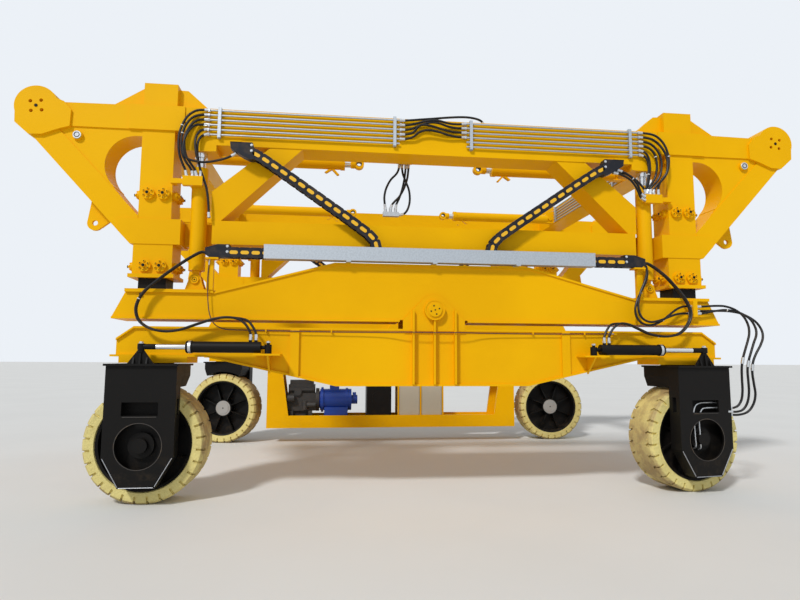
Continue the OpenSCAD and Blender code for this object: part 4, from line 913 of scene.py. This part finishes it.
# White ties, as shares of the hose's length
TIED = {
    "hose_upper_left": (0.45,), "hose_upper_left_1": (0.40,), "hose_upper_right": (0.50,),
    "hose_upper_right_4": (0.35,), "hose_upper_right_6": (0.55,), "hose_chain_head_1": (0.45,),
    "hose_lower_left": (0.35,), "hose_lower_right_2": (0.62,), "hose_bulkhead_1": (0.25, 0.70),
    "hose_outward_2": (0.40,),
}
FITTINGS = {body: [] for body in ("frame", "near_saddle", "near_axle", "fork_near_right")}
for group, bodies, first, last in (
    (UPPER_LEFT, "frame", "frame", "frame"),
    (UPPER_RIGHT, "frame", "frame", "frame"),
    (CENTRE, "frame", "frame", "frame"),
    (BAY, "frame", "frame", "frame"),
    (LOWER, ("near_saddle", "near_axle"), None, "near_axle"),
    (TO_BULKHEAD, "near_saddle", None, "near_saddle"),
    (OUTWARD, ("near_saddle", "near_axle"), "near_saddle", None),
    (INTO_HOUSING, ("near_axle", "fork_near_right"), None, "fork_near_right"),
):
    for name, route in group.items():
        unions = (UNION_AT,) if group is INTO_HOUSING else ()
        path = hose(name, route, bodies, ties=TIED.get(name, ()), unions=unions)
        if first:
            FITTINGS[first].append(ferrule(path, False))
        if last:
            FITTINGS[last].append(ferrule(path, True))
drop = hose("cable_drop", CABLE_DROP, ("near_saddle", "near_axle"), CABLE_R, CABLE)
along = hose("cable_along_axle", CABLE_ALONG, "near_axle", CABLE_R, CABLE)
FITTINGS["near_saddle"].append(ferrule(drop, False, CABLE_R))
clips = block(*CLIP).at(np.array([shift(x) for x in CLIPS_X]))
FITTINGS["near_axle"] += [ferrule(along, True, CABLE_R), block(*CABLE_END), clips]
for body, shapes in FITTINGS.items():
    piece("hose_fittings_" + body, join(*shapes), body)


# Drag chains: links of the solids' pitch with rounded plates and yellow inserts, and the brackets at the ends

CHAIN_PITCH = 0.136
CHAIN_HALF_H = 0.065
CHAIN_HALF_W = 0.055
CHAIN_Y = 0.295
TRAY_FLOOR = 2.950
UPPER_END = (2.335, 4.297)
LOWER_END = (2.575, TRAY_FLOOR + CHAIN_HALF_H)
UPPER_LINE = [
    (0.740, 0, 2.9503), (0.740, 0, 3.180), (0.850, 0, 3.300), (1.100, 0, 3.480), (1.900, 0, 4.030),
    (2.200, 0, 4.228), (UPPER_END[0], 0, UPPER_END[1]),
]
LOWER_LINE = [(1.645, 0, LOWER_END[1]), (LOWER_END[0], 0, LOWER_END[1])]


LINK_HALF = 0.072
PLATE_ROUNDING = 0.3
PLATE_T = 0.014
PLATE_STEP = 0.0015
NECK_HALF = (0.071, 0.046, 0.049)
RIB_HALF = (0.020, 0.050, 0.060)
INSERT = (0.102, 0.045)
PROUD = 0.002


def chain_link(half_width):
    """One link along X, centred: two side plates whose outline is (a c^n, b s^n) with the signs of the
    cosine c and the sine s of each turn, a neck between them, a rib across, and an oval insert that stands
    proud."""
    turns = np.linspace(0, 2 * np.pi, 32, endpoint=False)
    c, s = (np.sign(wave) * np.abs(wave) ** PLATE_ROUNDING for wave in (np.cos(turns), np.sin(turns)))
    outline = np.stack([LINK_HALF * c, CHAIN_HALF_H * s], axis=1)
    plates = extrusion(outline, -half_width, -half_width + PLATE_T, CHAIN).at(FACES)
    neck = middle_block(NECK_HALF, CHAIN)
    ribs = middle_block(RIB_HALF, CHAIN)
    inserts = extrusion(stadium(*INSERT), -CHAIN_HALF_W - PROUD, CHAIN_HALF_W + PROUD, OVAL)
    return join(plates, neck, ribs, inserts)


def chain(line):
    """Links between points spaced evenly along the line, the whole number of them nearest to the pitch:
    link i lies half way between points i and i + 1 and is turned by the slope between them. Every second
    link's plates stand a little inside the others'."""
    line = np.array(line, float)
    total = length_along(line)[-1]
    count = round(total / CHAIN_PITCH)
    knots = evenly(line, np.linspace(0, total, count + 1))
    middle = (knots[1:] + knots[:-1]) / 2
    step = knots[1:] - knots[:-1]
    slopes = np.degrees(np.arctan2(step[:, 2], step[:, 0]))
    places = [shift(x, -CHAIN_Y, z) @ turn("Y", -a) for (x, _, z), a in zip(middle, slopes)]
    wide = chain_link(CHAIN_HALF_W).at(np.array(places[::2]))
    narrow = chain_link(CHAIN_HALF_W - PLATE_STEP).at(np.array(places[1::2]))
    return join(wide, narrow)


def chain_head(outline, bolts):
    """The dark bracket that holds a chain's end, as an outline in XZ carried across the chain, with two
    bright bolts on its outboard face."""
    low = -CHAIN_Y - CHAIN_HALF_W - PROUD
    high = -CHAIN_Y + CHAIN_HALF_W + PROUD
    heads = bolt(0.014, 0.012, FITTING).at(np.array([shift(x, low, z) @ OUTBOARD for x, z in bolts]))
    return join(extrusion(outline, low, high, CHAIN), heads)


UPPER_HEAD = chain_head(
    [(2.600, 4.4197), (2.325, 4.4197), (2.295, 4.335), (2.300, 4.205), (2.350, 4.200), (2.440, 4.240),
     (2.590, 4.335)],
    [(2.335, 4.385), (2.335, 4.312)],
)
LOWER_HEAD = chain_head(
    [(2.850, 3.065), (2.700, 3.112), (2.560, 3.112), (2.555, 2.9503), (2.800, 2.9503), (2.850, 2.985)],
    [(2.585, 3.088), (2.585, 3.020)],
)


CARRIER = {"near": "near_saddle", "far": "far_carrier"}
AXLE = {"near": "near_axle", "far": "far_carrier"}
UPPER_CHAIN = chain(UPPER_LINE).at(ENDS)
LOWER_CHAIN = chain(LOWER_LINE).at(ENDS)
for side, carrier in CARRIER.items():
    place = side_frame(side)
    upper = piece(
        side + "_upper_chains_dressed", UPPER_CHAIN.at(place), None, [side + "_upper_chains"]
    )
    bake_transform(upper)
    piece(
        side + "_lower_chains_dressed", LOWER_CHAIN.at(place), carrier,
        [side + "_lower_chains"],
    )
    piece(side + "_lower_chain_heads", LOWER_HEAD.at(ENDS).at(place), carrier)
    piece(side + "_upper_chain_heads", UPPER_HEAD.at(ENDS).at(place), "frame")


# Tyres

NOTCHES = 28
TYRE_HALF = 0.240
SEAT_R = 0.5545
SHOULDER_R = WHEEL_R - 0.032
SHOULDER_IN = 0.036
NOTCH_DEPTH = 0.026
NOTCH_REACH = 0.115
NOTCH_HALF = 0.013
NOTCH_DROP = 0.060
NOTCH_WALL = 0.002
BESIDE_NOTCH = (0.030, 0.052)
KINK = 0.014
KINK_Y = 0.160
KINK_SPAN = 0.007
KINK_END_Y = 0.200
TREAD_RINGS = (0.190, 0.175, 0.165, 0.155, 0.140)


def tyre_profile():
    """Half of the section from the seat to the tread's centre, as (radius, distance from the centre plane)
    with the shoulder as a straight chamfer, and a close pair of rings where the notches end."""
    notch_r = SHOULDER_R - NOTCH_DROP
    side_r = [SEAT_R, SEAT_R + 0.010, notch_r - 0.003, notch_r, notch_r + NOTCH_WALL, 0.635, SHOULDER_R]
    side_y = np.array([TYRE_HALF - 0.015] + [TYRE_HALF] * 6)
    share = np.linspace(0, 1, 4)[1:]
    chamfer_r = SHOULDER_R + share * (WHEEL_R - SHOULDER_R)
    chamfer_y = TYRE_HALF - share * SHOULDER_IN
    inner = TYRE_HALF - NOTCH_REACH
    tread_y = [*TREAD_RINGS, inner + NOTCH_WALL, inner, 0.060, 0.0]
    radii = np.concatenate([side_r, chamfer_r, np.full(len(tread_y), WHEEL_R)])
    return radii, np.concatenate([side_y, chamfer_y, tread_y])


def tyre_shape():
    """The tyre about the Y axis: at turn a the point is (r cos a, y, r sin a). Each of the pitches round it
    has the same steps u from the notch's middle, close together at the notch's walls, and on the tread they
    move sideways by z(y) (1 - |u| / half a pitch), which gives the notch its kink. Inside |u| < NOTCH_HALF
    the point is lowered along the section's normal. The notches start half a pitch off, so a lug stands on
    the ground."""
    half_r, half_y = tyre_profile()
    r = np.concatenate([half_r, half_r[-2::-1]])
    y = np.concatenate([half_y, -half_y[-2::-1]])
    pitch = 2 * np.pi * WHEEL_R / NOTCHES
    steps = np.array([NOTCH_HALF, NOTCH_HALF + NOTCH_WALL, *BESIDE_NOTCH])
    u = np.concatenate([[-pitch / 2], -steps[::-1], [0.0], steps])
    kink = KINK * np.sign(y) * np.tanh((np.abs(y) - KINK_Y) / KINK_SPAN) * (np.abs(y) < KINK_END_Y)
    moved = u[None, :] + kink[:, None] * (1 - np.abs(u) / (pitch / 2))[None, :]
    middles = (np.arange(NOTCHES) + 0.5) * pitch
    a = (moved[:, None, :] + middles[None, :, None]).reshape(len(r), -1) / WHEEL_R
    in_notch = np.tile(np.abs(u) < NOTCH_HALF + NOTCH_WALL / 2, NOTCHES)
    reached = np.abs(y) >= TYRE_HALF - NOTCH_REACH + NOTCH_WALL / 2
    reached &= r >= SHOULDER_R - NOTCH_DROP + NOTCH_WALL / 2
    cut = NOTCH_DEPTH * reached[:, None] * in_notch[None, :]
    section = np.stack([r, y], axis=1)
    along = np.gradient(section, axis=0)
    normal = np.stack([-along[:, 1], along[:, 0]], axis=1)
    normal /= np.linalg.norm(normal, axis=1, keepdims=True)
    radius = r[:, None] - cut * normal[:, :1]
    across = y[:, None] - cut * normal[:, 1:]
    points = np.stack([radius * np.cos(a), across, radius * np.sin(a)], axis=-1)
    ring = np.concatenate([np.arange(len(r)), [0]])
    turns = np.concatenate([a[0], [a[0, 0] + 2 * np.pi]]) * WHEEL_R
    uv = np.stack([np.repeat(turns[None], len(ring), 0), np.repeat(r[ring][:, None], len(turns), 1)], axis=-1)
    return surface(points, round_u=True, round_v=True, uv=uv, finish=TYRE)


TYRE_SHAPE = tyre_shape()
for corner in CORNERS:
    wheel = corner_frame(corner) @ shift(z=WHEEL_R)
    node = "tyre_" + corner
    piece(node + "_dressed", TYRE_SHAPE.at(wheel), "wheel_" + corner, [node])


# Small parts on the frames, the wheels and the drive housings

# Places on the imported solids, in the own frame of a side frame or of a corner, where outboard is -Y
ADJUSTERS = [(x, z) for x in (3.410, 3.595) for z in (2.847, 3.760)]
BOSS_FACE_Y = 0.230
SCREW_END_Y = 0.262
SIDE_ADJUSTERS_Y = (-0.09, 0.09)
INNER_FACES = [(3.275, 2.847), (3.3125, 3.760)]
OUTER_FACES = [(3.745, 2.847), (3.7075, 3.760)]
SIDE_BOSS_H = 0.045
SIDE_SCREW_H = 0.085
MARK_H = 0.003
TIE_BOSS = (4.471, -0.215, 4.466)
EAR_CENTRE = (4.965, -0.230, 4.812)
KEEPER_PLACE = (0, -0.351, 2.340)
KEEPER_H = 0.014
LIP_PLACE = (0, -0.345, 2.340)
STEER_Y = -0.430
STEER_Z = 1.850
BARREL_BAND_X = 2.940
REAR_EYE = (2.050, STEER_Y, 1.905)
LIFT_LUG = (3.0, -0.175, 2.690)
BULKHEAD_STUD = (3.60, -0.250, 2.485)
HOUSING_FRONT = -0.440
BEAD_Y = HOUSING_FRONT - 0.001
PORT_PLACE = (0, HOUSING_FRONT, 0.700)
HUB_FACE_Y = 0.165


def disc(radius, height, finish=YELLOW, turns=24):
    """A round cap that stands on z = 0 with a chamfered top edge."""
    return lathe([(radius, 0), (radius, height * 0.8), (radius - height * 0.2, height)], turns, finish=finish)


def ring(inner, outer, height, finish=YELLOW):
    """A flat ring that stands on z = 0."""
    return lathe([(inner, 0), (outer, 0), (outer, height), (inner, height)], 48, True, finish)


def bead(start, end, radius=0.005, finish=WELD_HIGHLIGHT):
    """A straight weld bead between two points, by default in the bright finish that paints a highlight on it.
    """
    return tube(np.linspace(start, end, 3), radius, 8, finish)


def front_bead(x0, z0, x1, z1, radius=0.005, finish=WELD_HIGHLIGHT):
    """A weld bead on a drive housing's front, by default in the bright finish that paints a highlight on it.
    """
    return bead((x0, BEAD_Y, z0), (x1, BEAD_Y, z1), radius, finish)


def placed(shape, facing, places):
    """A copy at each place, turned from +Z to the way it faces."""
    return shape.at(np.array([shift(*place) @ facing for place in places]))


def on_both_faces(shape, y, places):
    """Copies on the outboard and on the inboard face, at (x, z) places and that distance from the middle."""
    outboard = placed(shape, OUTBOARD, [(x, -y, z) for x, z in places])
    return join(outboard, placed(shape, INBOARD, [(x, y, z) for x, z in places]))


def side_adjuster():
    """An adjuster's boss with its bolts and its screw."""
    boss_bolts = ring_of(bolt(0.011, 0.012), 6, 0.042, 30).at(shift(z=SIDE_BOSS_H))
    # The black disc on the screw's end is painted shade in its socket
    screw = join(disc(0.024, SIDE_SCREW_H), disc(0.018, MARK_H, BLACK).at(shift(z=SIDE_SCREW_H)))
    return join(disc(0.058, SIDE_BOSS_H), boss_bolts, screw)


def frame_trim():
    """Adjuster bolts and screw ends on all faces of a sleeve and its foot, with black discs as painted shade
    in the bolts' and the screws' sockets, pin heads on the tie lug's boss and the ear, for the +X end."""
    # The black disc on each bolt head is painted shade in its socket
    bolt_with_shaded_socket = join(bolt(0.015, 0.014), disc(0.007, 0.002, BLACK, 12).at(shift(z=0.014)))
    bolts = ring_of(bolt_with_shaded_socket, 6, 0.054, 30)
    inner = [(x, y, z) for x, z in INNER_FACES for y in SIDE_ADJUSTERS_Y]
    outer = [(x, y, z) for x, z in OUTER_FACES for y in SIDE_ADJUSTERS_Y]
    pin = join(disc(0.050, 0.012, FITTING), ring(0.026, 0.034, 0.015, BLACK))
    return join(
        on_both_faces(bolts, BOSS_FACE_Y, ADJUSTERS),
        # Black discs on the screw ends: painted shade in their sockets
        on_both_faces(disc(0.019, MARK_H, BLACK), SCREW_END_Y, ADJUSTERS),
        placed(side_adjuster(), TO_MIDDLE, inner),
        placed(side_adjuster(), TO_END, outer),
        placed(pin, OUTBOARD, [TIE_BOSS]),
        placed(disc(0.020, 0.006, BLACK), OUTBOARD, [EAR_CENTRE]),
    )


def axle_trim():
    """The centre pin's keeper plate with its screws, drawn as black discs of painted shade in their dimples,
    and the lip round it, the bright bands on the steering barrels and the nuts at their rear eyes."""
    # Black discs on the keeper: painted shade in its screws' dimples
    shaded_dimples = ring_of(disc(0.010, MARK_H, BLACK, 12), 4, 0.055, 18).at(shift(z=KEEPER_H))
    keeper = join(disc(0.088, KEEPER_H), shaded_dimples, disc(0.010, 0.018, BLACK))
    band = ring(0.070, 0.0755, 0.032, FITTING).at(shift(BARREL_BAND_X, STEER_Y, STEER_Z) @ TO_END)
    nut = bolt(0.026, 0.022, FITTING).at(shift(*REAR_EYE))
    return join(
        placed(keeper, OUTBOARD, [KEEPER_PLACE]),
        placed(ring(0.117, 0.129, 0.006), OUTBOARD, [LIP_PLACE]),
        join(band, nut).at(ENDS),
    )


def saddle_trim():
    """Pin caps at the lift cylinders' lugs and a stud by each pad plate's edge."""
    cap = join(disc(0.052, 0.012), ring(0.026, 0.030, 0.014, BLACK), disc(0.010, 0.016, BLACK, 12))
    stud = disc(0.018, 0.030, BLACK)
    return join(placed(cap, OUTBOARD, [LIFT_LUG]), placed(stud, OUTBOARD, [BULKHEAD_STUD])).at(ENDS)


def housing_trim():
    """Weld beads on a drive housing's front: round the port, along the foot and its slopes, under the slot
    and at the pedestal. Their finishes are painted light: a bright highlight along the foot and its slopes,
    and a fainter highlight round the port, under the slot and at the pedestal."""
    return join(
        placed(ring(0.262, 0.270, MARK_H, SEAM_HIGHLIGHT), OUTBOARD, [PORT_PLACE]),
        front_bead(-0.190, 0.238, 0.190, 0.238),
        front_bead(0.205, 0.250, 0.385, 0.568),
        front_bead(-0.205, 0.250, -0.385, 0.568),
        front_bead(-0.190, 1.035, 0.190, 1.035, 0.004, SEAM_HIGHLIGHT),
        bead((-0.130, -0.435, 1.652), (0.170, -0.435, 1.652), 0.005, SEAM_HIGHLIGHT),
    )


# Rods: radii, and how far each thing lies from the middle of the rod's eye, along the rod
STEER_BAR = (0.031, -1.000, -0.165)
STEER_NECK = [(0.029, -0.170), (0.033, -0.160), (0.033, -0.030), (0.022, -0.020)]
STEER_EYE_R = 0.042
STEER_BORE_R = 0.017
STEER_EYE_HALF = 0.035


def from_tip(profile, tip):
    """A rod's profile with its distances counted from the tip."""
    return [(radius, tip + place) for radius, place in profile]


def steering_rod(tip):
    """A chromed rod along X with a dark neck, its eye round a pin and the nut on the pin."""
    along = shift(0, STEER_Y, STEER_Z) @ TO_END
    radius, back, front = STEER_BAR
    bar = rod(radius, tip + back, tip + front, 24, CHROME)
    neck = lathe(from_tip(STEER_NECK, tip), 24)
    half = STEER_EYE_HALF
    section = [(STEER_BORE_R, -half), (STEER_EYE_R, -half), (STEER_EYE_R, half), (STEER_BORE_R, half)]
    eye = lathe(section, 32, True)
    pin = join(rod(0.0175, -half, 0.040, 24, FITTING), bolt(0.026, 0.024, FITTING).at(shift(z=0.036)))
    at_tip = join(eye.painted(BLACK), pin).at(shift(tip, STEER_Y, STEER_Z))
    return join(bar.at(along), neck.painted(BLACK).at(along), at_tip)


HOIST_TIP_X = 0.930
HOIST_Y = 1.450
HOIST_Z = 4.680
HOIST_EYE_HALF = 0.045
HOIST_BAR_R = 0.050
HOIST_BAR_FRONT = 0.120
HOIST_NECK = [(0.046, 0.040), (0.062, 0.060), (0.062, 0.118), (0.052, 0.130)]


def hoist_rod(end):
    """A hoist cylinder's chromed rod along X with a painted neck and eye, in a corner's frame that isn't
    turned."""
    tip = HOIST_TIP_X - HALF_BASE
    inboard = HALF_GAUGE - HOIST_Y
    along = shift(0, inboard, HOIST_Z) @ TO_END
    bar = rod(HOIST_BAR_R, tip + HOIST_BAR_FRONT, end, 32, CHROME)
    neck = lathe(from_tip(HOIST_NECK, tip), 32)
    eye = ring(0.036, 0.075, 0.090).at(shift(tip, inboard + HOIST_EYE_HALF, HOIST_Z) @ OUTBOARD)
    bush_y = inboard + HOIST_EYE_HALF + 0.001
    bush = ring(0.0352, 0.042, 0.092, BLACK).at(shift(tip, bush_y, HOIST_Z) @ OUTBOARD)
    return join(bar.at(along), neck.at(along), eye, bush)


def rod_reach(node):
    """How far a rod's solid reaches past its corner's kingpin, along X."""
    return max(abs(point.x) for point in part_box(node)) - HALF_BASE


HUB = join(
    ring(0.118, 0.150, 0.010, HUB_GREY), disc(0.120, 0.018, HUB_GREY, 48), disc(0.016, 0.020, BLACK),
)
for side in CARRIER:
    place = side_frame(side)
    piece(side + "_sleeve_screws", frame_trim().at(ENDS).at(place), "frame")
    piece(side + "_pivot_keeper", axle_trim().at(place), AXLE[side])
    piece(side + "_lift_pin_caps", saddle_trim().at(place), CARRIER[side])
for corner in CORNERS:
    still = corner_frame(corner, False)
    steer_node = "steer_rod_" + corner
    steer = steering_rod(rod_reach(steer_node) - STEER_EYE_R).at(still)
    piece(steer_node + "_dressed", steer, steer_node, [steer_node])
    hoist_node = "hoist_rod_" + corner
    hoist = hoist_rod(rod_reach(hoist_node)).at(still)
    piece(hoist_node + "_dressed", hoist, hoist_node, [hoist_node])
    piece("housing_beads_" + corner, housing_trim().at(corner_frame(corner)), "fork_" + corner)
    hub = HUB.at(corner_frame(corner) @ shift(0, HUB_FACE_Y, WHEEL_R) @ INBOARD)
    piece("hub_cap_" + corner, hub, "wheel_" + corner)

# Rigid pipes inside the near right drive housing, from the motor up and out to the hoses
INNER_PIPE_R = 0.009
INNER_PIPES = [
    [
        (-0.12, -0.33, 0.58), (-0.12, -0.37, 0.62), (-0.125, -0.37, 0.75), (-0.13, -0.37, 0.90),
        (-0.13, -0.37, 1.05), (-0.10, -0.37, 1.13), (-0.03, -0.37, 1.165), (0.06, -0.37, 1.17),
        (0.375, -0.37, 1.17),
    ],
    [
        (-0.05, -0.33, 0.56), (-0.05, -0.375, 0.60), (-0.055, -0.38, 0.75), (-0.06, -0.38, 0.95),
        (-0.02, -0.38, 1.07), (0.06, -0.38, 1.10), (0.375, -0.38, 1.10),
    ],
]
inside = join(*[tube(curve(route, 4), INNER_PIPE_R, 8, FITTING) for route in INNER_PIPES])
piece("housing_pipes", inside.at(corner_frame("near_right")), "fork_near_right")
